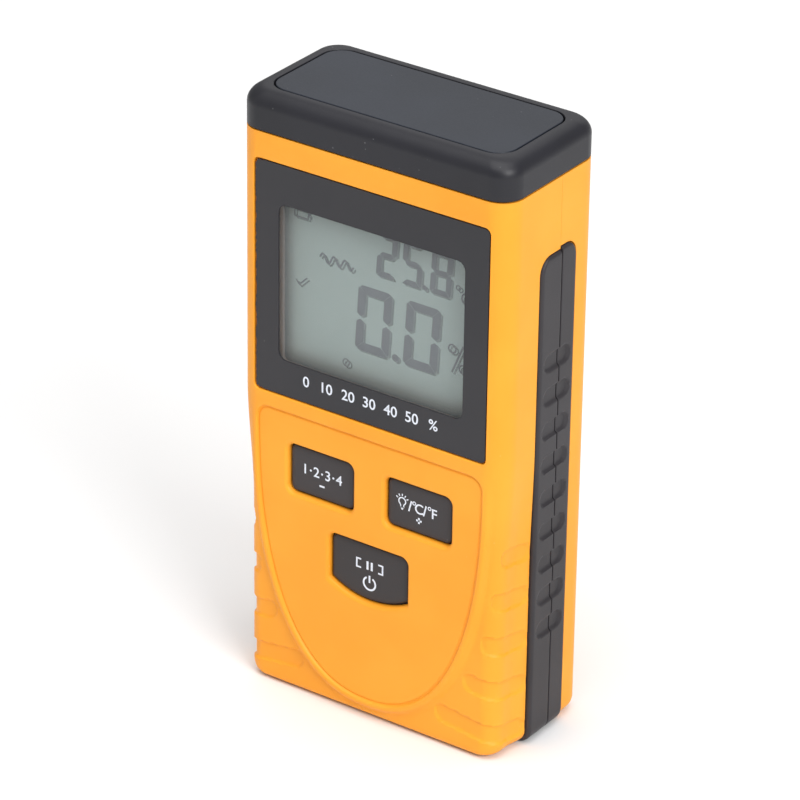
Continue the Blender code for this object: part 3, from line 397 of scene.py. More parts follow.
batteryPrint = batteryWrap("batteryPrint")
redSleeve = wireSleeve("redSleeve", (0.55, 0.02, 0.015))
blackSleeve = wireSleeve("blackSleeve", (0.02, 0.02, 0.02))
print("materials made")


# ---- outlines, each a closed list of (u, v) with the same number of points whatever it grows by

def roundedCorners(corners, steps=8):
    points = []
    for i, (u, v, radius) in enumerate(corners):
        here = Vector((u, v))
        if radius <= 0:
            points.append((u, v))
            continue
        before = (Vector(corners[i - 1][:2]) - here).normalized()
        after = (Vector(corners[(i + 1) % len(corners)][:2]) - here).normalized()
        half = before.angle(after) / 2
        centre = here + (before + after).normalized() * radius / math.sin(half)
        start = here + before * radius / math.tan(half) - centre
        end = here + after * radius / math.tan(half) - centre
        for step in range(steps + 1):
            points.append(tuple(centre + start.slerp(end, step / steps).normalized() * radius))
    return points


def roundedRectangle(width, height, radius, steps=8):
    u, v = width / 2, height / 2
    radius = max(radius, 0.02 * mm)
    return roundedCorners([(u, v, radius), (-u, v, radius), (-u, -v, radius), (u, -v, radius)], steps)


def circle(radius, sides=32):
    turns = [2 * math.pi * i / sides for i in range(sides)]
    return [(radius * math.cos(turn), radius * math.sin(turn)) for turn in turns]


def acrossY(outline, y, x=0.0, z=0.0):
    return [(x + u, y, z + v) for u, v in outline]


def acrossZ(outline, z, x=0.0, y=0.0):
    return [(x + u, y + v, z) for u, v in outline]


def acrossX(outline, x, y=0.0, z=0.0):
    return [(x, y + u, z + v) for u, v in outline]


def quarter(radius, step=15, start=0):
    # (in, down) of a rounded edge, from its lowest point when step is positive
    stop = 91 if step > 0 else -1
    turns = [math.radians(angle) for angle in range(start, stop, step)]
    return [(radius * (1 - math.cos(turn)), radius * (1 - math.sin(turn))) for turn in turns]


def placeOf(node):
    # middle of a node and its width and height, seen from the front
    low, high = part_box(node)
    return (low.x + high.x) / 2, (low.z + high.z) / 2, high.x - low.x, high.z - low.z


# ---- mesh tools

def solid(name, points, faces):
    mesh = bpy.data.meshes.new(name)
    mesh.from_pydata([tuple(point) for point in points], [], faces)
    shape = bmesh.new()
    shape.from_mesh(mesh)
    bmesh.ops.remove_doubles(shape, verts=shape.verts, dist=0.0005 * mm)
    bmesh.ops.recalc_face_normals(shape, faces=shape.faces)
    shape.to_mesh(mesh)
    shape.free()
    made = bpy.data.objects.new(name, mesh)
    scene.collection.objects.link(made)
    return made


def loft(name, rings, closed=False):
    # skin over rings of equal length; closed joins the last ring to the first instead of capping both
    count = len(rings[0])
    points = [point for ring in rings for point in ring]
    faces = [] if closed else [tuple(range(count)), tuple(range(len(points) - count, len(points)))]
    for level in range(len(rings) if closed else len(rings) - 1):
        low, high = level * count, (level + 1) % len(rings) * count
        for i in range(count):
            j = (i + 1) % count
            faces.append((low + i, low + j, high + j, high + i))
    return solid(name, points, faces)


def block(name, low, high):
    outline = [(low[0], low[1]), (high[0], low[1]), (high[0], high[1]), (low[0], high[1])]
    return loft(name, [acrossZ(outline, low[2]), acrossZ(outline, high[2])])


def prism(name, outline, start, end, x=0.0, z=0.0):
    return loft(name, [acrossY(outline, y, x, z) for y in (start, end)])


def tube(name, radius, start, end, x, z):
    return prism(name, circle(radius), start, end, x, z)


def carve(piece, tools, operation="DIFFERENCE"):
    for tool in tools:
        change = piece.modifiers.new(tool.name, "BOOLEAN")
        change.operation = operation
        change.solver = "MANIFOLD"
        change.object = tool
    settle(piece)
    for tool in tools:
        bpy.data.objects.remove(tool)


def settle(piece):
    # keep the mesh that the modifiers make, and drop the modifiers
    bpy.context.view_layer.update()
    graph = bpy.context.evaluated_depsgraph_get()
    made = bpy.data.meshes.new_from_object(piece.evaluated_get(graph))
    piece.modifiers.clear()
    piece.data = made


def dress(piece, material, body="meter_body", sharp=34, replaces=()):
    piece.data.materials.clear()
    piece.data.materials.append(material)
    piece.data.shade_smooth()
    piece.data.set_sharp_from_angle(angle=math.radians(sharp))
    even = piece.modifiers.new("evenNormals", "WEIGHTED_NORMAL")
    even.keep_sharp = True
    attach(piece, body)
    if replaces:
        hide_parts(*replaces)
    return piece


def smooth(value, low, high):
    t = np.clip((value - low) / (high - low), 0, 1)
    return t * t * (3 - 2 * t)


# ---- housing skins

def edgeInset(radius, rise):
    return radius - np.sqrt(np.maximum(radius**2 - np.maximum(radius - rise, 0) ** 2, 0))


def skinPoints(station, z, towards, faceY, seamY):
    # station: 0..1 over the flat face, 1..2 round the corner, 2..3 along the side, negative on the left
    rise = z - bottomZ
    insetY = edgeInset(housing["baseFrontRadius"], rise)
    radius = housing["cornerRadius"] - insetY
    half = sideX - edgeInset(housing["baseSideRadius"], rise)
    deep = abs(faceY) - insetY
    run, side = np.abs(station), np.sign(station)
    turn = np.clip(run - 1, 0, 1) * math.pi / 2
    x = np.minimum(run, 1) * (half - radius) + radius * np.sin(turn)
    depth = deep - radius + radius * np.cos(turn)
    depth += np.clip(run - 2, 0, 1) * (towards * seamY - (deep - radius))
    outX = np.sin(turn) * side
    outY = np.cos(turn) * towards
    return side * x, depth * towards, outX, outY


def unrolled(station):
    # distance from the middle line, measured over the skin
    corner = housing["cornerRadius"]
    run = np.abs(station)
    return (
        np.minimum(run, 1) * (sideX - corner)
        + np.clip(run - 1, 0, 1) * corner * math.pi / 2
        + np.clip(run - 2, 0, 1) * (partingY - frontLow.y - corner)
    )


def housingSkin(name, towards, faceY, seamY, stations, levels, sink=None):
    station, z = np.meshgrid(stations, levels)
    x, y, outX, outY = skinPoints(station, z, towards, faceY, seamY)
    if sink is not None:
        drop = sink(unrolled(station), z)
        x = x - outX * drop
        y = y - outY * drop
    rows, columns = station.shape
    points = np.stack([x, y, z], axis=-1).reshape(-1, 3).tolist()
    faces = []
    for row in range(rows - 1):
        for column in range(columns - 1):
            here = row * columns + column
            faces.append((here, here + 1, here + columns + 1, here + columns))
    last = (rows - 1) * columns
    faces.append(tuple(range(columns)))
    faces.append(tuple(range(last, last + columns)))
    left = [row * columns for row in range(rows)]
    right = [row * columns + columns - 1 for row in range(rows)]
    faces.append(tuple(left + right[::-1]))
    return solid(name, points, faces)


def cavity(name):
    # inside of both housings: the outer shape drawn in by the wall
    wall = housing["wall"]
    rings = []
    for rise in (0.0, 0.3, 1.1, 2.2, 3.8, 140.0):
        inX = wall + edgeInset(housing["baseSideRadius"] - wall, rise * mm)
        inY = wall + edgeInset(0.4 * mm, rise * mm)
        width = 2 * (sideX - inX)
        depth = rearHigh.y - frontLow.y - 2 * inY
        radius = max(housing["cornerRadius"] - inY, 1.0 * mm)
        rings.append(acrossZ(roundedRectangle(width, depth, radius), bottomZ + wall + rise * mm))
    return loft(name, rings)


def levelsOf(*stretches):
    # (start, end, step) stretches joined into one rising list
    found = []
    for start, end, step in stretches:
        count = max(1, round((end - start) / step))
        found += [start + (end - start) * i / count for i in range(count)]
    return found + [stretches[-1][1]]


def baseLevels():
    rises = {0.0}
    for radius in (housing["baseFrontRadius"], housing["baseSideRadius"]):
        rises |= {round(radius * (1 - math.cos(math.radians(angle))), 6) for angle in range(10, 91, 10)}
    return [bottomZ + rise for rise in sorted(rises)]


# ---- control panel and the sculpted flanks beside it

panel = {
    "halfWidth": 28.4 * mm,
    "top": 67.2 * mm,
    "shoulder": 63.7 * mm,
    "bottom": 4.9 * mm,
    "corner": 3.0 * mm,
    "roundness": 2.3,
    # (grow, depth) of the groove round the panel
    "groove": [(0.45, 0.0), (0.30, 0.06), (0.14, 0.22), (0.02, 0.52), (-0.10, 0.62), (-0.30, 0.60),
               (-0.48, 0.46), (-0.62, 0.40)],
}
flank = {
    "pitch": 0.36 * mm,
    "drop": 1.30 * mm,  # how far the flanks lie below the ridge
    "fadeFrom": 71.0 * mm,
    "fadeTo": 43.0 * mm,
    "crest": 1.0 * mm,
    "ridge": 2.7 * mm,
    "scoopDepth": 0.50 * mm,
    "scoopHeight": 4.4 * mm,
    "scoopEdge": 0.55 * mm,
    "scoopEnd": 0.3 * mm,  # short of the grip strip
    "scoopLean": 0.12,  # fall of a scoop per distance outwards
    "scoopFade": 4.0 * mm,  # height over which the lowest scoop comes up from the base
    "beside": 0.6,  # part of the drop that is lost beside the grip strip
    "besideWidth": 5.0 * mm,
    # (height above the ground, distance of the inner end from the middle line)
    "scoops": [(47.7, 33.6), (37.6, 31.0), (27.2, 28.2), (16.8, 24.0), (6.6, 17.0)],
}


def panelOutline(grow=0.0, steps=64):
    half = panel["halfWidth"] + grow
    drop = panel["shoulder"] - panel["bottom"] + grow
    corners = [
        (half, panel["top"] + grow, panel["corner"] + grow),
        (-half, panel["top"] + grow, panel["corner"] + grow),
    ]
    power = 2 / panel["roundness"]
    for i in range(steps + 1):
        angle = math.pi * i / steps
        u = -half * math.copysign(abs(math.cos(angle)) ** power, math.cos(angle))
        corners.append((u, panel["shoulder"] - drop * math.sin(angle) ** power, 0))
    return roundedCorners(corners)


def outsidePanel(across, z):
    # distance outside the tongue of the panel, negative inside it
    edge = np.array([(u, v) for u, v in panelOutline() if u >= -0.1 * mm])
    flat = np.stack([np.abs(across).ravel(), z.ravel()], axis=1)
    starts, ends = edge[:-1], edge[1:]
    nearest = np.full(len(flat), 1.0)
    for start, end in zip(starts, ends):
        run = end - start
        length = max(run @ run, 1e-18)
        t = np.clip((flat - start) @ run / length, 0, 1)
        nearest = np.minimum(nearest, np.linalg.norm(flat - start - t[:, None] * run, axis=1))
    low = np.maximum(panel["shoulder"] - flat[:, 1], 0) / (panel["shoulder"] - panel["bottom"])
    wide = flat[:, 0] / panel["halfWidth"]
    inside = (wide ** panel["roundness"] + low ** panel["roundness"] < 1) & (flat[:, 1] < panel["top"])
    return np.where(inside, -nearest, nearest).reshape(z.shape)


def flankDrop(across, z):
    beyond = outsidePanel(across, z)
    low = 1 - smooth(z, flank["fadeTo"], flank["fadeFrom"])
    reach = unrolled(np.array(2.0)) + (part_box("front_grip")[0].y - frontLow.y - housing["cornerRadius"])
    drop = flank["drop"] * low * smooth(beyond, flank["crest"], flank["ridge"])
    drop = drop * (1 - flank["beside"] * smooth(across, reach - flank["besideWidth"], reach))
    radius = flank["scoopHeight"] / 2
    for height, inner in flank["scoops"]:
        start = inner * mm + radius
        end = reach - flank["scoopEnd"] - radius
        middle, half = (start + end) / 2, (end - start) / 2
        offset = np.maximum(np.abs(across - middle) - half, 0)
        centre = height * mm - flank["scoopLean"] * (across - middle)
        inward = radius - np.hypot(offset, z - centre)
        t = np.clip(inward / flank["scoopEdge"], 0, 1)
        fade = smooth(z, bottomZ, flank["scoopFade"])
        drop = drop + flank["scoopDepth"] * np.sqrt(1 - (1 - t) ** 2) * fade
    return drop


def gripChannel(name, node):
    # the channel that one grip strip lies in, down one side, under the base and up the other
    low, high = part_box(node)
    isFront = high.y < partingY
    edge = low.y - gap if isFront else high.y + gap
    seam = partingY + past if isFront else partingY - past
    top = high.z + gap
    outline = stripLine(past, top) + stripLine(-grip["channelDepth"], top)[::-1]
    made = prism(name, outline, min(edge, seam), max(edge, seam))
    under = -2 * past
    corners = [(edge, top, grip["endRadius"] + gap), (seam, top, 0), (seam, under, 0), (edge, under, 0)]
    ends = loft(name + "Ends", [acrossX(roundedCorners(corners), x) for x in (-2 * sideX, 2 * sideX)])
    carve(made, [ends], "INTERSECT")
    return made


def stripLine(offset, top, steps=12):
    # down the left side, under the base and up the right, drawn out by an offset
    radius = housing["baseSideRadius"] + offset
    half = sideX + offset
    centreZ = bottomZ + housing["baseSideRadius"]
    points = [(-half, top)]
    for side, start in ((-1, math.pi), (1, 1.5 * math.pi)):
        for step in range(steps + 1):
            angle = start + math.pi / 2 * step / steps
            x = side * (half - radius) + radius * math.cos(angle)
            points.append((x, centreZ + radius * math.sin(angle)))
    return points + [(half, top)]


# ---- keys: outline, and where each sits

keySet = {
    "flange": 1.0 * mm,
    "radius": 1.4 * mm,
    "sag": 2.8 * mm,
    "clearance": 0.35 * mm,
    "mouth": 0.9 * mm,  # rounding of the opening's rim
    "edge": 0.55 * mm,
    "dome": 0.10 * mm,
    # (distance from the edge, fall) over the middle of the face
    "crown": [(2.2 * mm, 0.0), (1.3 * mm, 0.02 * mm), (0.9 * mm, 0.05 * mm)],
    "flangeFront": 2.5 * mm,  # below the front of the housing
    "flangeBack": 3.3 * mm,
    "stemRadius": 2.0 * mm,
}


def keyPlace(node):
    low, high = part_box(node)
    x, z, width, height = placeOf(node)
    flange = 2 * keySet["flange"]
    return Vector((x, low.y, z)), (width - flange, height - flange), high.y


def squareKey(size, grow=0.0):
    return roundedRectangle(size[0] + 2 * grow, size[1] + 2 * grow, keySet["radius"] + grow)


def bowedKey(size, grow=0.0, steps=16):
    # straight top and sides, lower edge bowed down
    half = size[0] / 2 + grow
    top = size[1] / 2 + grow
    sag = keySet["sag"]
    shoulder = -top + sag
    bow = (half**2 + sag**2) / (2 * sag)
    reach = math.asin(half / bow)
    radius = keySet["radius"]
    upper = max(radius + grow, 0.05 * mm)
    corners = [(half, top, upper), (-half, top, upper), (-half, shoulder, radius / 2)]
    for i in range(1, steps):
        angle = reach * (2 * i / steps - 1)
        corners.append((bow * math.sin(angle), -top + bow * (1 - math.cos(angle)), 0))
    corners.append((half, shoulder, radius / 2))
    return roundedCorners(corners)


keyShapes = {"select_key": squareKey, "light_unit_key": squareKey, "hold_key": bowedKey}


def mouthTool(name, outline, surface, radius, depth, x, z):
    # cutter for an opening with a rounded rim; outline takes how much to grow by
    rings = [acrossY(outline(radius), surface - past, x, z)]
    rings += [acrossY(outline(grow), surface + sink, x, z) for sink, grow in quarter(radius)]
    rings.append(acrossY(outline(0.0), surface + depth, x, z))
    return loft(name, rings)


display = {
    "seatDepth": 1.1 * mm,
    "lip": 0.28 * mm,
    "filmRadius": 1.1 * mm,
    "windowMargin": 1.2 * mm,
    "windowRadius": 2.0 * mm,
    "paneRadius": 3.2 * mm,
}
bosses = {
    "front": 2.9 * mm,
    "post": 2.3 * mm,
    "postPilot": 1.2 * mm,
    "rooted": 0.25 * mm,  # how far a boss reaches into the front wall
    "rear": 3.7 * mm,
    "pilot": 1.6 * mm,
    "head": 2.8 * mm,
    "seat": 7.2 * mm,
}
grip = {
    "endRadius": 3.4 * mm,
    "proud": 0.5 * mm,
    "inner": -1.1 * mm,
    "channelDepth": 1.2 * mm,
    "edge": 0.85 * mm,
    "seamEdge": 0.16 * mm,
    "fine": 0.34 * mm,
    "firstZ": 26.9 * mm,
    "pitchZ": 7.79 * mm,
    "count": 9,
    "centreY": 1.9 * mm,
    "length": 9.4 * mm,
    "height": 3.9 * mm,
    "depth": 0.60 * mm,
    "slope": 0.70 * mm,
}


def screwPlaces(kind):
    return [placeOf("%s_screw_%d" % (kind, i + 1))[:2] for i in range(4)]


def makeFrontHousing():
    corner = housing["cornerRadius"]
    pitch = flank["pitch"]
    face = max(1, round((sideX - corner) / pitch))
    turn = max(1, round(corner * math.pi / 2 / pitch))
    side = max(1, round((frontHigh.y - frontLow.y - corner) / (1.4 * pitch)))
    right = [i / face for i in range(face)]
    right += [1 + i / turn for i in range(turn)]
    right += [2 + i / side for i in range(side + 1)]
    stations = [-value for value in right[:0:-1]] + right
    low = baseLevels()
    sculpted = flank["fadeFrom"] + pitch
    levels = low + levelsOf((low[-1], sculpted, pitch), (sculpted, topZ, 6 * mm))[1:]
    shell = housingSkin("frontShell", -1, frontLow.y, frontHigh.y, stations, levels, flankDrop)
    wall = housing["wall"]
    inside = frontLow.y + wall
    root = inside - bosses["rooted"]
    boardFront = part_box("main_board")[0].y
    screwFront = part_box("board_screw_1")[0].y
    adds = []
    cuts = [gripChannel("frontChannel", "front_grip")]
    for i, (x, z) in enumerate(screwPlaces("housing")):
        adds.append(tube("bossFront%d" % i, bosses["front"], root, frontHigh.y, x, z))
        cuts.append(tube("pilotFront%d" % i, bosses["pilot"], inside + wall, frontHigh.y + past, x, z))
    for i, (x, z) in enumerate(screwPlaces("board")):
        adds.append(tube("post%d" % i, bosses["post"], root, boardFront - gap, x, z))
        cuts.append(tube("postPilot%d" % i, bosses["postPilot"], screwFront - gap, boardFront + past, x, z))
    carve(shell, [cavity("frontCavity")])
    carve(shell, adds, "UNION")
    rings = [acrossY(panelOutline(panel["groove"][0][0] * mm), frontLow.y - past)]
    for grow, depth in panel["groove"]:
        rings.append(acrossY(panelOutline(grow * mm), frontLow.y + depth * mm))
    cuts.append(loft("panelTool", rings))
    panelY = frontLow.y + panel["groove"][-1][1] * mm
    _, middle, width, height = placeOf("display_overlay")

    def filmSeat(grow):
        around = 2 * (gap + grow)
        return roundedRectangle(width + around, height + around, display["filmRadius"] + gap + grow)

    cuts.append(
        mouthTool("filmSeat", filmSeat, frontLow.y, display["lip"], display["seatDepth"], 0.0, middle)
    )
    _, middle, width, height = placeOf("display_window")
    pane = roundedRectangle(width + 2 * gap, height + 2 * gap, display["paneRadius"])
    cuts.append(prism("paneTool", pane, frontLow.y - past, inside + past, 0.0, middle))
    for node, shape in keyShapes.items():
        centre, size, _ = keyPlace(node)

        def mouth(grow, shape=shape, size=size):
            return shape(size, grow + keySet["clearance"])

        deep = inside + past - panelY
        cuts.append(mouthTool(node + "Tool", mouth, panelY, keySet["mouth"], deep, centre.x, centre.z))
    carve(shell, cuts)
    return dress(shell, orangeShell, replaces=["front_housing"])


rearDetail = {
    "bayWall": 1.2 * mm,
    "bayFrontWall": 1.0 * mm,
    "bayClearance": 0.5 * mm,
    "frame": 3.2 * mm,
    "frameDeep": 2.2 * mm,
    "doorClearance": 0.35 * mm,
    "doorThickness": 2.0 * mm,
    "doorOverlap": 1.8 * mm,
    "bayTopUnderDoor": 1.8 * mm,
    "labelWidth": 44.0 * mm,
    "labelHeight": 34.0 * mm,
    "labelDeep": 0.3 * mm,
    "labelLow": 76.0 * mm,
    "labelRadius": 2.0 * mm,
    "pinRadius": 0.8 * mm,
    "pinIn": 1.0 * mm,  # from the back and from the lower end of the door
    "slotHalf": 6.35 * mm,  # slot for the leads
    "slotDeep": 2.4 * mm,
}


def makeRearHousing():
    detail = rearDetail
    right = [i / 10 for i in range(10)] + [1 + i / 12 for i in range(12)] + [2 + i / 8 for i in range(9)]
    stations = [-value for value in right[:0:-1]] + right
    low = baseLevels()
    levels = low + levelsOf((low[-1], topZ, 8 * mm))[1:]
    shell = housingSkin("rearShell", 1, rearHigh.y, seamRear, stations, levels)
    carve(shell, [cavity("rearCavity")])
    batteryLow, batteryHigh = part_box("battery")
    doorLow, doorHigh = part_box("battery_door")
    half = (batteryHigh.x - batteryLow.x) / 2 + detail["bayClearance"]
    doorHalf = half + detail["doorOverlap"]
    bayBottom = batteryLow.z - detail["bayClearance"]
    bayTop = doorHigh.z - detail["bayTopUnderDoor"]
    bayFront = batteryLow.y - gap
    wallInside = rearHigh.y - housing["wall"]
    rooted = wallInside + housing["wall"] / 2
    frameX = half + detail["frame"]
    adds = [
        block(
            "bayOutside",
            (-half - detail["bayWall"], bayFront - detail["bayFrontWall"], bayBottom - detail["bayWall"]),
            (half + detail["bayWall"], rooted, bayTop + detail["bayWall"]),
        ),
        block(
            "bayLedge",
            (-frameX, wallInside - detail["frameDeep"], bayBottom - detail["frame"]),
            (frameX, rooted, bayTop + detail["frame"]),
        ),
    ]
    cuts = []
    seat = partingY + bosses["seat"]
    for i, (x, z) in enumerate(screwPlaces("housing")):
        adds.append(tube("bossRear%d" % i, bosses["rear"], seamRear, rooted, x, z))
        cuts.append(tube("screwHole%d" % i, bosses["pilot"], seamRear - past, seat + past, x, z))
        rings = [(seat, 0.0), (rearHigh.y - 0.35 * mm, 0.0), (rearHigh.y - 0.12 * mm, 0.10 * mm)]
        rings += [(rearHigh.y, 0.35 * mm), (rearHigh.y + past, 0.35 * mm)]
        outline = [acrossY(circle(bosses["head"] + grow), y, x, z) for y, grow in rings]
        cuts.append(loft("headHole%d" % i, outline))
    carve(shell, adds, "UNION")
    inner = rearHigh.y - detail["doorThickness"]
    clear = detail["doorClearance"]
    rebate = roundedRectangle(2 * (doorHalf + clear), doorHigh.z - doorLow.z + 2 * clear, 0.5 * mm)
    middle = (doorLow.z + doorHigh.z) / 2
    cuts += [
        block("bayInside", (-half, bayFront, bayBottom), (half, rearHigh.y + past, bayTop)),
        prism("doorRebate", rebate, inner - gap, rearHigh.y + past, 0.0, middle),
        gripChannel("rearChannel", "rear_grip"),
    ]
    pin = circle(detail["pinRadius"], 20)
    pinY, pinZ = rearHigh.y - detail["pinIn"], doorLow.z + detail["pinIn"]
    reach = doorHigh.x + gap
    cuts.append(loft("pinSocket", [acrossX(pin, x, pinY, pinZ) for x in (-reach, reach)]))
    leadY = (batteryLow.y + batteryHigh.y) / 2
    slot, deep = detail["slotHalf"], detail["slotDeep"]
    slotTop = bayTop + 2 * detail["bayWall"]
    cuts.append(block("leadSlot", (-slot, leadY - deep, bayTop - past), (slot, leadY + deep, slotTop)))

    def label(grow):
        width, height = detail["labelWidth"] + 2 * grow, detail["labelHeight"] + 2 * grow
        return roundedRectangle(width, height, detail["labelRadius"] + grow)

    centreZ = detail["labelLow"] + detail["labelHeight"] / 2
    rings = [(0.3 * mm, rearHigh.y + past), (0.3 * mm, rearHigh.y), (0.0, rearHigh.y - detail["labelDeep"])]
    cuts.append(loft("labelTool", [acrossY(label(grow), y, 0, centreZ) for grow, y in rings]))
    carve(shell, cuts)
    return dress(shell, orangeShell, replaces=["rear_housing"])


makeFrontHousing()
print("front housing made")
makeRearHousing()
print("rear housing made")


# ---- battery door, with finger grooves and an arrow pressed into it

door = {
    "grooves": 6,
    "groovePitch": 1.9 * mm,
    "grooveWidth": 20.0 * mm,
    "shorter": 0.6 * mm,  # at each end, per groove away from the middle one
    "grooveDeep": 0.45 * mm,
    "grooveRadius": 0.6 * mm,
    "topMargin": 9.0 * mm,
    "arrow": 5.0 * mm,
}


def makeDoor():
    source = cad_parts["battery_door"]
    cover = bpy.data.objects.new("doorCover", source.data.copy())
    scene.collection.objects.link(cover)
    shape = bmesh.new()
    shape.from_mesh(cover.data)
    bmesh.ops.remove_doubles(shape, verts=shape.verts, dist=0.0005 * mm)
    bmesh.ops.dissolve_limit(shape, angle_limit=math.radians(1), verts=shape.verts, edges=shape.edges)
    bmesh.ops.recalc_face_normals(shape, faces=shape.faces)
    shape.to_mesh(cover.data)
    shape.free()
    low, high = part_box("battery_door")
    top = high.z - door["topMargin"]
    radius, deep = door["grooveRadius"], door["grooveDeep"]
    groove = circle(radius, 20)
    centre = high.y - deep + radius
    cuts = []
    for i in range(door["grooves"]):
        z = top - i * door["groovePitch"]
        reach = door["grooveWidth"] / 2 - door["shorter"] * abs(i - (door["grooves"] - 1) / 2)
        cuts.append(loft("groove%d" % i, [acrossX(groove, x, centre, z) for x in (-reach, reach)]))
    size = door["arrow"]
    z = top - door["grooves"] * door["groovePitch"] - size
    arrow = [(0.0, -size / 2), (size / 2, size / 2), (-size / 2, size / 2)]
    cuts.append(prism("arrow", arrow, high.y - deep, high.y + past, 0.0, z))
    carve(cover, cuts)
    return dress(cover, orangeShell, "battery_door", replaces=["battery_door"])


makeDoor()
print("door made")


# ---- grip strips with nine scoops across the seam

def scoopDepth(y, z):
    half = (grip["length"] - grip["height"]) / 2
    radius = grip["height"] / 2
    depth = 0.0
    for i in range(grip["count"]):
        centreZ = grip["firstZ"] + i * grip["pitchZ"]
        offset = max(abs(y - grip["centreY"]) - half, 0.0)
        inward = radius - math.hypot(offset, z - centreZ)
        t = min(max(inward / grip["slope"], 0.0), 1.0)
        depth += grip["depth"] * math.sqrt(1 - (1 - t) ** 2)
    return depth


def stripPoint(run, offset):
    # run is (part, amount): side down, corner, base, corner, side up
    part, amount = run
    radius = housing["baseSideRadius"] + offset
    centreZ = bottomZ + housing["baseSideRadius"]
    flat = sideX - housing["baseSideRadius"]
    if part == "left":
        return -(sideX + offset), amount
    if part == "right":
        return sideX + offset, amount
    if part == "base":
        return amount, centreZ - radius
    side = -1 if part == "leftTurn" else 1
    return side * (flat + radius * math.cos(amount)), centreZ - radius * math.sin(amount)


def makeGrip(name, node):
    low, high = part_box(node)
    isFront = high.y < partingY
    edge, seam = (low.y, high.y) if isFront else (high.y, low.y)
    inward = 1 if seam > edge else -1
    width = abs(seam - edge)
    proud, inner, rim, tiny = grip["proud"], grip["inner"], grip["edge"], grip["seamEdge"]
    section = [(0.0, inner)] + [(across, proud - sink) for across, sink in quarter(rim)]
    count = round((width - rim - tiny) / grip["fine"])
    section += [(rim + (width - rim - tiny) * i / count, proud) for i in range(1, count + 1)]
    section += [(width - back, proud - sink) for sink, back in quarter(tiny, 30, 30)]
    section.append((width, inner))
    top = high.z
    turn = bottomZ + housing["baseSideRadius"]
    scoopLow = grip["firstZ"] - grip["height"]
    scoopHigh = grip["firstZ"] + (grip["count"] - 1) * grip["pitchZ"] + grip["height"]
    heights = levelsOf(
        (turn, scoopLow, 1.6 * mm), (scoopLow, scoopHigh, grip["fine"]), (scoopHigh, top - rim, 1.0 * mm)
    )
    heights += [top - sink for _, sink in quarter(rim, 15, 15)]
    runs = [("left", z) for z in heights[::-1]]
    runs += [("leftTurn", math.radians(angle)) for angle in range(8, 90, 8)]
    flat = sideX - housing["baseSideRadius"]
    runs += [("base", -flat + 2 * flat * i / 12) for i in range(13)]
    runs += [("rightTurn", math.radians(90 - angle)) for angle in range(8, 90, 8)]
    runs += [("right", z) for z in heights]
    endRadius = grip["endRadius"]
    rings = []
    for run in runs:
        onSide = run[0] in ("left", "right")
        z = run[1] if onSide else 0.0
        over = max(z - (top - endRadius), 0.0)
        cutIn = endRadius - math.sqrt(max(endRadius**2 - over**2, 0.0))
        lift = max(z - (top - rim), 0.0)
        most = proud - rim + math.sqrt(max(rim**2 - lift**2, 0.0))
        ring = []
        for across, offset in section:
            y = edge + inward * (cutIn + across * (width - cutIn) / width)
            if onSide and offset > inner:
                offset = min(offset - scoopDepth(y, z), most)
            x, height = stripPoint(run, offset)
            ring.append((x, y, height))
        rings.append(ring)
    made = loft(name, rings)
    return dress(made, gripRubber, sharp=48, replaces=[node])


makeGrip("frontGripSkin", "front_grip")
makeGrip("rearGripSkin", "rear_grip")
print("grips made")


# ---- sensor cap and its plate

cap = {
    "edge": 3.4 * mm,
    "plateRadius": 4.4 * mm,
    "groove": 0.34 * mm,
    "grooveBevel": 0.10 * mm,
    "bevel": 0.12 * mm,
    "pocketDeep": 1.5 * mm,
    "plateEdge": 0.22 * mm,
    "lipIn": 2.5 * mm,
    "lipWall": 1.4 * mm,
    "lipLow": 3.0 * mm,
    "roof": 3.2 * mm,
}


def makeCap():
    low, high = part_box("sensor_cap")
    plateLow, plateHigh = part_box("sensor_plate")
    size, plateSize = high - low, plateHigh - plateLow
    bottom = topZ + gap
    corner = housing["cornerRadius"]

    def ring(inset, z, radius):
        return acrossZ(roundedRectangle(size.x - 2 * inset, size.y - 2 * inset, radius, 12), z)

    def pocket(grow, z):
        width, depth = plateSize.x + 2 * grow, plateSize.y + 2 * grow
        return acrossZ(roundedRectangle(width, depth, cap["plateRadius"] + grow, 12), z)

    groove, bevel = cap["groove"], cap["bevel"]
    rings = [pocket(groove, high.z - cap["pocketDeep"]), pocket(groove, high.z - bevel)]
    rings.append(pocket(groove + cap["grooveBevel"], high.z))
    for inset, sink in quarter(cap["edge"], -9, 90):
        rings.append(ring(inset, high.z - sink, corner - 0.5 * inset))
    rings.append(ring(0.0, bottom + bevel, corner))
    rings.append(ring(bevel, bottom, corner - bevel))
    lip, lipZ = cap["lipIn"], topZ - cap["lipLow"]
    hollow = lip + cap["lipWall"]
    for inset, z in ((lip, bottom), (lip, lipZ), (hollow, lipZ), (hollow, high.z - cap["roof"])):
        rings.append(ring(inset, z, corner - lip))
    dress(loft("capShell", rings), blackCap, replaces=["sensor_cap"])

    rings = [pocket(0.0, plateLow.z)]
    rings += [pocket(-inset, plateHigh.z - sink) for inset, sink in quarter(cap["plateEdge"], 18)]
    dress(loft("capPlate", rings), blackPlate, replaces=["sensor_plate"])


makeCap()
print("cap made")


# ---- display: film with a rough-cut left edge, pane, and the liquid-crystal marks

film = {
    "step": 0.55 * mm,
    "roughWidth": 1.9 * mm,
    "rough": 0.26 * mm,  # deepest notch of the rough edge
    "even": 0.03 * mm,
    "bevel": 0.07 * mm,
    "paneBevel": 0.12 * mm,
}


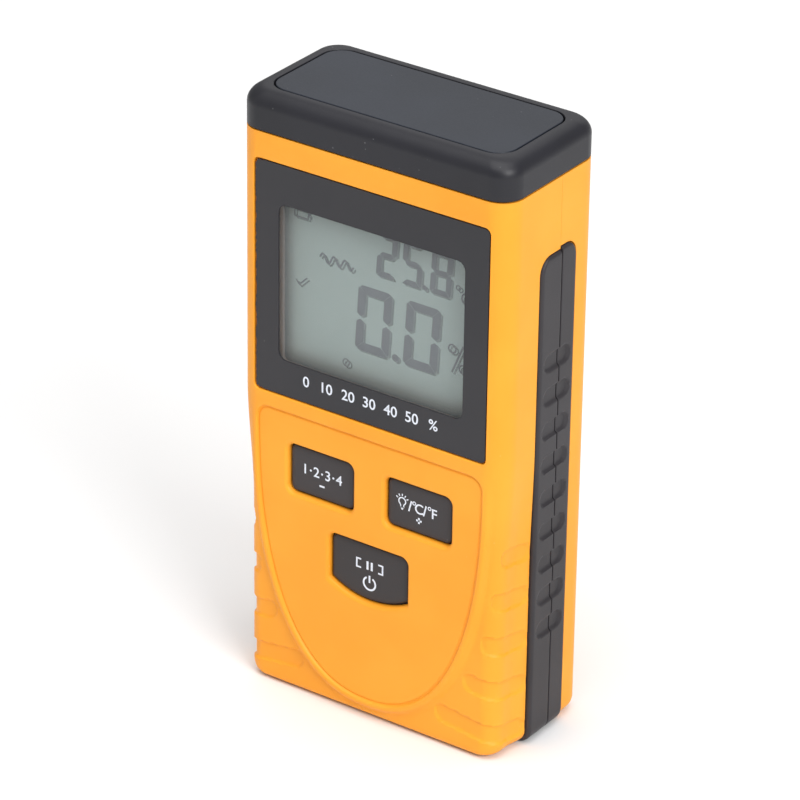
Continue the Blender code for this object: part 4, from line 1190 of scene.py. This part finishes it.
def makeFilm():
    low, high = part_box("display_overlay")
    _, middle, width, height = placeOf("display_overlay")
    _, holeMiddle, holeWidth, holeHeight = placeOf("display_window")
    draw = random.Random(7)
    outer = densify(roundedRectangle(width, height, display["filmRadius"], 10), film["step"])
    notches = [draw.uniform(0.0, 1.0) for _ in outer]

    def edge(inset, y):
        ring = []
        for (u, v), notch in zip(outer, notches):
            onLeft = u < -width / 2 + film["roughWidth"]
            rough = (film["rough"] if onLeft else film["even"]) * notch
            scale = 1 - (inset + rough) / math.hypot(u, v)
            ring.append((u * scale, y, middle + v * scale))
        return ring

    def opening(grow, y):
        # points matched to the outer edge by the direction from the middle
        ring = []
        less = 2 * (display["windowMargin"] - grow)
        shape = roundedRectangle(holeWidth - less, holeHeight - less, display["windowRadius"] + grow, 10)
        for u, v in outer:
            x, z = rayHit(shape, math.atan2(v, u))
            ring.append((x, y, holeMiddle + z))
        return ring

    bevel = film["bevel"]
    rings = [
        edge(0.0, high.y),
        edge(0.0, low.y + bevel),
        edge(bevel, low.y),
        opening(bevel, low.y),
        opening(0.0, low.y + bevel),
        opening(0.0, high.y),
    ]
    made = loft("overlayFilm", rings, closed=True)
    return dress(made, blackFilm, replaces=["display_overlay"])


def densify(outline, step):
    points = []
    for i, (u, v) in enumerate(outline):
        nextU, nextV = outline[(i + 1) % len(outline)]
        count = max(1, round(math.hypot(nextU - u, nextV - v) / step))
        points += [(u + (nextU - u) * k / count, v + (nextV - v) * k / count) for k in range(count)]
    return points


def rayHit(outline, angle):
    # where a ray from the middle crosses a closed outline
    dirU, dirV = math.cos(angle), math.sin(angle)
    best = outline[0]
    for i, (u, v) in enumerate(outline):
        nextU, nextV = outline[(i + 1) % len(outline)]
        runU, runV = nextU - u, nextV - v
        cross = dirU * runV - dirV * runU
        if abs(cross) < 1e-15:
            continue
        along = (u * runV - v * runU) / cross
        t = (u * dirV - v * dirU) / cross
        if along > 0 and -1e-9 <= t <= 1 + 1e-9:
            best = (dirU * along, dirV * along)
    return best


def makePane():
    low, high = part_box("display_window")
    _, middle, width, height = placeOf("display_window")
    bevel = film["paneBevel"]
    rings = []
    for inset, y in ((bevel, low.y), (0.0, low.y + bevel), (0.0, high.y - bevel), (bevel, high.y)):
        radius = display["paneRadius"] - inset
        outline = roundedRectangle(width - 2 * inset, height - 2 * inset, radius, 10)
        rings.append(acrossY(outline, y, 0.0, middle))
    return dress(loft("windowPane", rings), paneClear, replaces=["display_window"])


makeFilm()
makePane()
print("display film and pane made")


class Print:
    # thin flat marks gathered into one mesh; places are (x, z) in metres on a face at one depth
    def __init__(self, name, face, thick=0.04 * mm):
        self.name = name
        self.face = face
        self.thick = thick
        self.shape = bmesh.new()

    def area(self, outline):
        front = [self.shape.verts.new((u, self.face - self.thick, v)) for u, v in outline]
        back = [self.shape.verts.new((u, self.face + self.thick / 2, v)) for u, v in outline]
        self.shape.faces.new(front)
        self.shape.faces.new(back[::-1])
        for i in range(len(outline)):
            j = (i + 1) % len(outline)
            self.shape.faces.new((front[j], front[i], back[i], back[j]))

    def line(self, points, width, closed=False):
        # a stroke of even width with mitred joints
        points = [Vector(point) for point in points]
        count = len(points)
        sides = ([], [])
        for i, here in enumerate(points):
            before = points[i - 1] if i or closed else None
            after = points[(i + 1) % count] if i < count - 1 or closed else None
            one = (here - before).normalized() if before else (after - here).normalized()
            two = (after - here).normalized() if after else one
            normal = Vector((-(one.y + two.y), one.x + two.x)).normalized()
            reach = width / 2 / max(normal.dot(Vector((-one.y, one.x))), 0.3)
            sides[0].append(here + normal * reach)
            sides[1].append(here - normal * reach)
        if not closed:
            self.area([tuple(p) for p in sides[0] + sides[1][::-1]])
            return
        for i in range(count):
            j = (i + 1) % count
            self.area([tuple(sides[0][i]), tuple(sides[0][j]), tuple(sides[1][j]), tuple(sides[1][i])])

    def arc(self, x, z, radius, start, end, width, steps=24):
        turns = [math.radians(start + (end - start) * i / steps) for i in range(steps + 1)]
        points = [(x + radius * math.cos(turn), z + radius * math.sin(turn)) for turn in turns]
        whole = end - start >= 360
        self.line(points[:-1] if whole else points, width, whole)

    def dot(self, x, z, radius, sides=20):
        self.area([(x + u, z + v) for u, v in circle(radius, sides)])

    def text(self, words, x, z, height):
        # figures and unit signs, centred on (x, z)
        curve = bpy.data.curves.new(self.name + "Text", "FONT")
        curve.body = words
        curve.size = height / 0.71
        curve.extrude = self.thick
        curve.offset = 0.012 * height
        holder = bpy.data.objects.new(self.name + "Text", curve)
        scene.collection.objects.link(holder)
        bpy.context.view_layer.update()
        graph = bpy.context.evaluated_depsgraph_get()
        mesh = bpy.data.meshes.new_from_object(holder.evaluated_get(graph))
        co = np.array([v.co for v in mesh.vertices])
        middle = (co.min(0) + co.max(0)) / 2
        rows = (1, 0, 0, x - middle[0]), (0, 0, -1, self.face), (0, 1, 0, z - middle[1]), (0, 0, 0, 1)
        mesh.transform(Matrix(rows))
        self.shape.from_mesh(mesh)
        bpy.data.objects.remove(holder)
        bpy.data.meshes.remove(mesh)

    def make(self, material, slot, body="meter_body"):
        bmesh.ops.recalc_face_normals(self.shape, faces=self.shape.faces)
        mesh = bpy.data.meshes.new(self.name)
        self.shape.to_mesh(mesh)
        self.shape.free()
        made = bpy.data.objects.new(self.name, mesh)
        scene.collection.objects.link(made)
        return dress(made, material, body, sharp=30)


def segmentAreas(figure, x, z, width, height, stroke, lean):
    # the lit segments of one seven-segment figure, as outlines; x is the middle and z the lower edge
    w, t, g, c = width / 2, stroke, 0.05 * stroke, 0.4 * stroke
    m, h = height / 2, height
    across = [(-w + c + g, h), (w - c - g, h), (w - c / 2 - g, h - c / 2), (w - t - g, h - t)]
    across += [(-w + t + g, h - t), (-w + c / 2 + g, h - c / 2)]
    upright = [(w - c / 2, h - c / 2 - g), (w, h - c - g), (w, m + t / 2), (w - t / 2, m + 3 * g)]
    upright += [(w - t, m + t / 2), (w - t, h - t - g)]
    bar = [(-w + t / 2 + g, m), (-w + t, m + t / 2), (w - t, m + t / 2)]
    bar += [(w - t / 2 - g, m), (w - t, m - t / 2), (-w + t, m - t / 2)]
    shapes = {
        "a": across,
        "b": upright,
        "c": [(u, h - v) for u, v in upright],
        "d": [(u, h - v) for u, v in across],
        "e": [(-u, h - v) for u, v in upright],
        "f": [(-u, v) for u, v in upright],
        "g": bar,
    }
    lit = {"0": "abcdef", "2": "abdeg", "5": "acdfg", "8": "abcdefg"}[figure]
    return [[(x + u + lean * v, z + v) for u, v in shapes[letter]] for letter in lit]


lcd = {
    "lean": 0.06,
    "shade": (0.60 * mm, -0.35 * mm),  # how far the shadow lies from its segment
    # figures: (character, middle, lower edge, width, height, stroke)
    "figures": [
        ("0", -2.1, 85.2, 8.4, 14.9, 1.9),
        ("0", 9.9, 85.2, 8.4, 14.9, 1.9),
        ("2", 1.2, 103.4, 4.8, 10.0, 1.25),
        ("5", 7.5, 103.4, 4.9, 10.0, 1.25),
        ("8", 14.6, 103.4, 5.1, 10.0, 1.25),
    ],
    "points": [(3.9, 86.0, 0.85), (10.9, 104.0, 0.60)],
}


def lcdMarks(marks, shiftX=0.0, shiftZ=0.0):
    for figure, x, z, width, height, stroke in lcd["figures"]:
        for area in segmentAreas(
            figure, x * mm + shiftX, z * mm + shiftZ, width * mm, height * mm, stroke * mm, lcd["lean"]
        ):
            marks.area(area)
    for x, z, radius in lcd["points"]:
        marks.dot(x * mm + shiftX, z * mm + shiftZ, radius * mm)

    def at(x, z):
        return x * mm + shiftX, z * mm + shiftZ

    # percent sign
    marks.line([at(17.9, 87.1), at(20.6, 93.6)], 0.45 * mm)
    marks.arc(*at(17.9, 92.4), 0.9 * mm, 0, 360, 0.4 * mm)
    marks.arc(*at(20.6, 88.4), 0.9 * mm, 0, 360, 0.4 * mm)
    # degree sign and letter of the scale
    marks.arc(*at(19.1, 106.4), 0.5 * mm, 0, 360, 0.3 * mm)
    marks.arc(*at(21.3, 104.4), 1.3 * mm, 50, 310, 0.4 * mm)
    # measuring field: a small wave
    wave = [at(-15.2 + 8.4 * i / 40, 103.4 + 0.95 * math.sin(i / 40 * 6 * math.pi)) for i in range(41)]
    marks.line(wave, 0.45 * mm)
    # tick, battery and a round mark below
    marks.line([at(-21.2, 96.6), at(-20.4, 95.6), at(-18.4, 97.6)], 0.35 * mm)
    marks.line([at(-21.6, 111.0), at(-18.2, 111.0), at(-18.2, 112.7), at(-21.6, 112.7)], 0.3 * mm, True)
    marks.line([at(-17.9, 111.5), at(-17.9, 112.2)], 0.35 * mm)
    marks.arc(*at(-8.4, 81.2), 0.8 * mm, 0, 360, 0.3 * mm)
    marks.dot(*at(-8.4, 81.2), 0.25 * mm)


def makeLcd():
    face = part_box("lcd_polarizer")[0].y
    shade = Print("lcdShadows", face, 0.012 * mm)
    lcdMarks(shade, *lcd["shade"])
    shade.make(segmentShade, "lcd_segment")
    marks = Print("lcdSegments", face - 0.03 * mm, 0.012 * mm)
    lcdMarks(marks)
    marks.make(segmentDark, "lcd_segment")


makeLcd()
print("display marks made")


# ---- scale printed on the film under the window

scale = {
    "left": -15.9 * mm,
    "right": 16.1 * mm,
    "figuresZ": 75.9 * mm,
    "height": 2.4 * mm,
    "figures": ["0", "10", "20", "30", "40", "50"],
}


def makeScale():
    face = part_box("display_overlay")[0].y
    marks = Print("filmPrint", face)
    count = len(scale["figures"])
    step = (scale["right"] - scale["left"]) / count
    for i, words in enumerate(scale["figures"]):
        marks.text(words, scale["left"] + i * step, scale["figuresZ"], scale["height"])
    marks.text("%", scale["right"], scale["figuresZ"], scale["height"])
    marks.make(whiteInk, "white_print")


makeScale()


# ---- keys with soft domed faces, and their legends

def makeKey(node, name):
    centre, size, back = keyPlace(node)
    shape = keyShapes[node]
    edge, dome = keySet["edge"], keySet["dome"]
    shoulder = frontLow.y + keySet["flangeFront"]
    rear = frontLow.y + keySet["flangeBack"]
    # (outline, depth) from the middle of the face to the end of the stem
    steps = [(shape(size, -inset), centre.y + sink) for inset, sink in keySet["crown"]]
    for sink, inset in quarter(edge, 14, 20):
        steps.append((shape(size, -inset), centre.y + dome + sink))
    flange = shape(size, keySet["flange"])
    stem = []
    for u, v in shape(size):
        reach = keySet["stemRadius"] / math.hypot(u, v)
        stem.append((u * reach, v * reach))
    steps += [(shape(size), shoulder), (flange, shoulder), (flange, rear), (stem, rear), (stem, back)]
    made = loft(name, [acrossY(outline, y, centre.x, centre.z) for outline, y in steps])
    return dress(made, keyRubber, node, sharp=40, replaces=[node])


legend = {
    "figure": 2.3,
    "stroke": 0.42,
    "thin": 0.24,
    "selectPitch": 2.9,
    "lampX": -4.35,
    "lampZ": 0.95,
    "lampRadius": 0.85,
    "unitZ": 0.45,
    "pauseZ": 1.7,
    "powerZ": -2.5,
}


class Legend:
    # marks on one key, in millimetres from the middle of the key
    def __init__(self, node, name):
        self.node = node
        self.centre, _, _ = keyPlace(node)
        self.marks = Print(name, self.centre.y)

    def at(self, x, z):
        return self.centre.x + x * mm, self.centre.z + z * mm

    def line(self, points, width):
        self.marks.line([self.at(x, z) for x, z in points], width * mm)

    def arc(self, x, z, radius, start, end, width, steps=24):
        self.marks.arc(*self.at(x, z), radius * mm, start, end, width * mm, steps)

    def dot(self, x, z, radius):
        self.marks.dot(*self.at(x, z), radius * mm)

    def text(self, words, x, z):
        self.marks.text(words, *self.at(x, z), legend["figure"] * mm)

    def make(self):
        self.marks.make(whiteInk, "white_print", self.node)


def makeSelectLegend():
    # four figures with dots between them, over a minus sign
    marks = Legend("select_key", "selectLegend")
    pitch, z = legend["selectPitch"], 0.6
    for i, words in enumerate("1234"):
        marks.text(words, (i - 1.5) * pitch, z)
    for i in range(3):
        marks.dot((i - 1) * pitch, z, 0.24)
    marks.line([(-0.65, z - 2.9), (0.65, z - 2.9)], legend["stroke"])
    marks.make()


def makeLightLegend():
    # lamp with rays, unit signs between slashes, plus sign
    marks = Legend("light_unit_key", "lightUnitLegend")
    x, z, radius, thin = legend["lampX"], legend["lampZ"], legend["lampRadius"], legend["thin"]
    marks.arc(x, z, radius, -60, 240, 0.27)
    foot = z - radius * math.sin(math.radians(60))
    for side in (-1, 1):
        marks.line([(x + side * 0.43, foot), (x + side * 0.33, foot - 0.75)], 0.26)
        marks.line([(x - 0.42, foot - 0.62), (x + 0.42, foot - 0.62)], thin)
    marks.dot(x, foot - 0.95, 0.28)
    for angle in (30, 60, 90, 120, 150):
        c, s = math.cos(math.radians(angle)), math.sin(math.radians(angle))
        marks.line([(x + far * c, z + far * s) for far in (1.25, 1.75)], thin)
    z = legend["unitZ"]
    for slash in (-2.35, 1.35):
        marks.line([(slash - 0.32, z - 1.25), (slash + 0.32, z + 1.25)], 0.34)
    for letter, place in (("C", -0.1), ("F", 3.75)):
        marks.text(letter, place, z)
        marks.arc(place - 1.25, z + 0.95, 0.36, 0, 360, 0.2, 16)
    x, z, half = -0.1, -2.3, 0.68
    marks.line([(x - half, z), (x + half, z)], legend["stroke"])
    marks.line([(x, z - half), (x, z + half)], legend["stroke"])
    marks.make()


def makeHoldLegend():
    # pause sign between brackets, over the power sign
    marks = Legend("hold_key", "holdLegend")
    z = legend["pauseZ"]
    for side in (-1, 1):
        marks.line([(side * 0.55, z - 1.0), (side * 0.55, z + 1.0)], 0.5)
        corners = [(2.2, 1.0), (3.3, 1.0), (3.3, -1.0), (2.2, -1.0)]
        marks.line([(side * u, z + v) for u, v in corners], 0.36)
    z = legend["powerZ"]
    marks.arc(0.0, z, 1.5, 120, 420, legend["stroke"], 32)
    marks.line([(0.0, z + 0.2), (0.0, z + 1.9)], legend["stroke"])
    marks.make()


for node, name in (("select_key", "selectCap"), ("light_unit_key", "lightUnitCap"), ("hold_key", "holdCap")):
    makeKey(node, name)
makeSelectLegend()
makeLightLegend()
makeHoldLegend()
print("keys made")


# ---- finishes of the pieces inside, which keep their CAD shape

inside = [
    (copper, "sensor_electrode"),
    (blackSleeve, "sensor_lead battery_lead_black"),
    (redSleeve, "battery_lead_red"),
    (batteryPrint, "battery"),
    (gripRubber, "contact_strip"),
    (holderGrey, "display_holder"),
    (maskGreen, "sensor_board main_board"),
    (lcdGrey, "lcd_polarizer lcd_front_glass lcd_rear_glass lcd_reflector"),
    (whitePlastic, "backlight_guide backlight_led select_plunger light_unit_plunger hold_plunger"),
    (chipBlack, "select_switch light_unit_switch hold_switch thermistor buzzer battery_snap"),
    (chipBlack, "microcontroller signal_amplifier voltage_regulator"),
    (steel, "sensor_shield sensor_screw_left sensor_screw_right crystal filter_capacitor"),
    (steel, "battery_positive battery_negative"),
    (steel, "board_screw_1 board_screw_2 board_screw_3 board_screw_4"),
    (steel, "housing_screw_1 housing_screw_2 housing_screw_3 housing_screw_4"),
]
for material, nodes in inside:
    for node in nodes.split():
        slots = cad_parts[node].data.materials
        slots.clear()
        slots.append(material)
print("inside pieces finished")


# ---- floor, light and camera

studio = {
    "floor": (0.86, 0.86, 0.86),
    "floorSize": 6.0,
    "world": 0.36,
    "azimuth": 34.854,
    "elevation": 27.654,
    "roll": 0.822,
    "distance": 972.04 * mm,
    "aimZ": 69.0 * mm,
    "shiftRight": 2.846 * mm,
    "shiftUp": -0.758 * mm,
    "lens": 210.24,
    # name, azimuth, elevation, distance, size, power
    "lamps": [
        ("overhead", 10, 78, 1.3, 1.4, 16.0),
        ("rightWindow", 66, 34, 1.5, 0.7, 14.0),
        ("leftFill", -50, 22, 1.8, 1.4, 2.2),
        ("behind", 200, 40, 1.8, 1.6, 5.0),
    ],
}


def direction(azimuth, elevation):
    a, e = math.radians(azimuth), math.radians(elevation)
    return Vector((math.sin(a) * math.cos(e), -math.cos(a) * math.cos(e), math.sin(e)))


def makeStudio():
    finish = Finish("floorPaper", {"Specular IOR Level": 0.1, "Roughness": 0.9})
    tooth = finish.noise(0.8 * mm, 3.0)
    warm = tuple(0.985 * part for part in studio["floor"])
    finish.feed("Base Color", finish.mix(tooth, warm, studio["floor"]))
    half = studio["floorSize"] / 2
    corners = [(-half, -half, 0), (half, -half, 0), (half, half, 0), (-half, half, 0)]
    mesh = bpy.data.meshes.new("floor")
    mesh.from_pydata(corners, [], [(0, 1, 2, 3)])
    mesh.materials.append(finish.material)
    floor = bpy.data.objects.new("floor", mesh)
    floor.location.z = cadLow.z
    scene.collection.objects.link(floor)

    world = bpy.data.worlds.new("studioWorld")
    world.use_nodes = True
    sky = world.node_tree.nodes["Background"]
    sky.inputs["Color"].default_value = (1.0, 1.0, 1.0, 1.0)
    sky.inputs["Strength"].default_value = studio["world"]
    scene.world = world
    aim = Vector((0, 0, studio["aimZ"]))
    for name, azimuth, elevation, distance, size, power in studio["lamps"]:
        lamp = bpy.data.lights.new(name, "AREA")
        lamp.shape = "SQUARE"
        lamp.size = size
        lamp.energy = power
        holder = bpy.data.objects.new(name, lamp)
        back = direction(azimuth, elevation)
        holder.location = aim + back * distance
        holder.rotation_euler = back.to_track_quat("Z", "Y").to_euler()
        scene.collection.objects.link(holder)

    back = direction(studio["azimuth"], studio["elevation"])
    azimuth, roll = math.radians(studio["azimuth"]), math.radians(studio["roll"])
    level = Vector((math.cos(azimuth), math.sin(azimuth), 0))
    upright = back.cross(level)
    c, s = math.cos(roll), math.sin(roll)
    right = c * level + s * upright
    up = c * upright - s * level
    camera = bpy.data.objects.new("camera", bpy.data.cameras.new("camera"))
    camera.data.lens = studio["lens"]
    camera.data.sensor_width = 36.0
    camera.data.clip_end = 20.0
    place = aim + back * studio["distance"] - studio["shiftRight"] * right - studio["shiftUp"] * up
    turn = Matrix((right, up, back)).transposed().to_4x4()
    camera.matrix_world = Matrix.Translation(place) @ turn
    scene.collection.objects.link(camera)
    scene.camera = camera
    scene.view_settings.view_transform = "Standard"


makeStudio()
print("studio made")
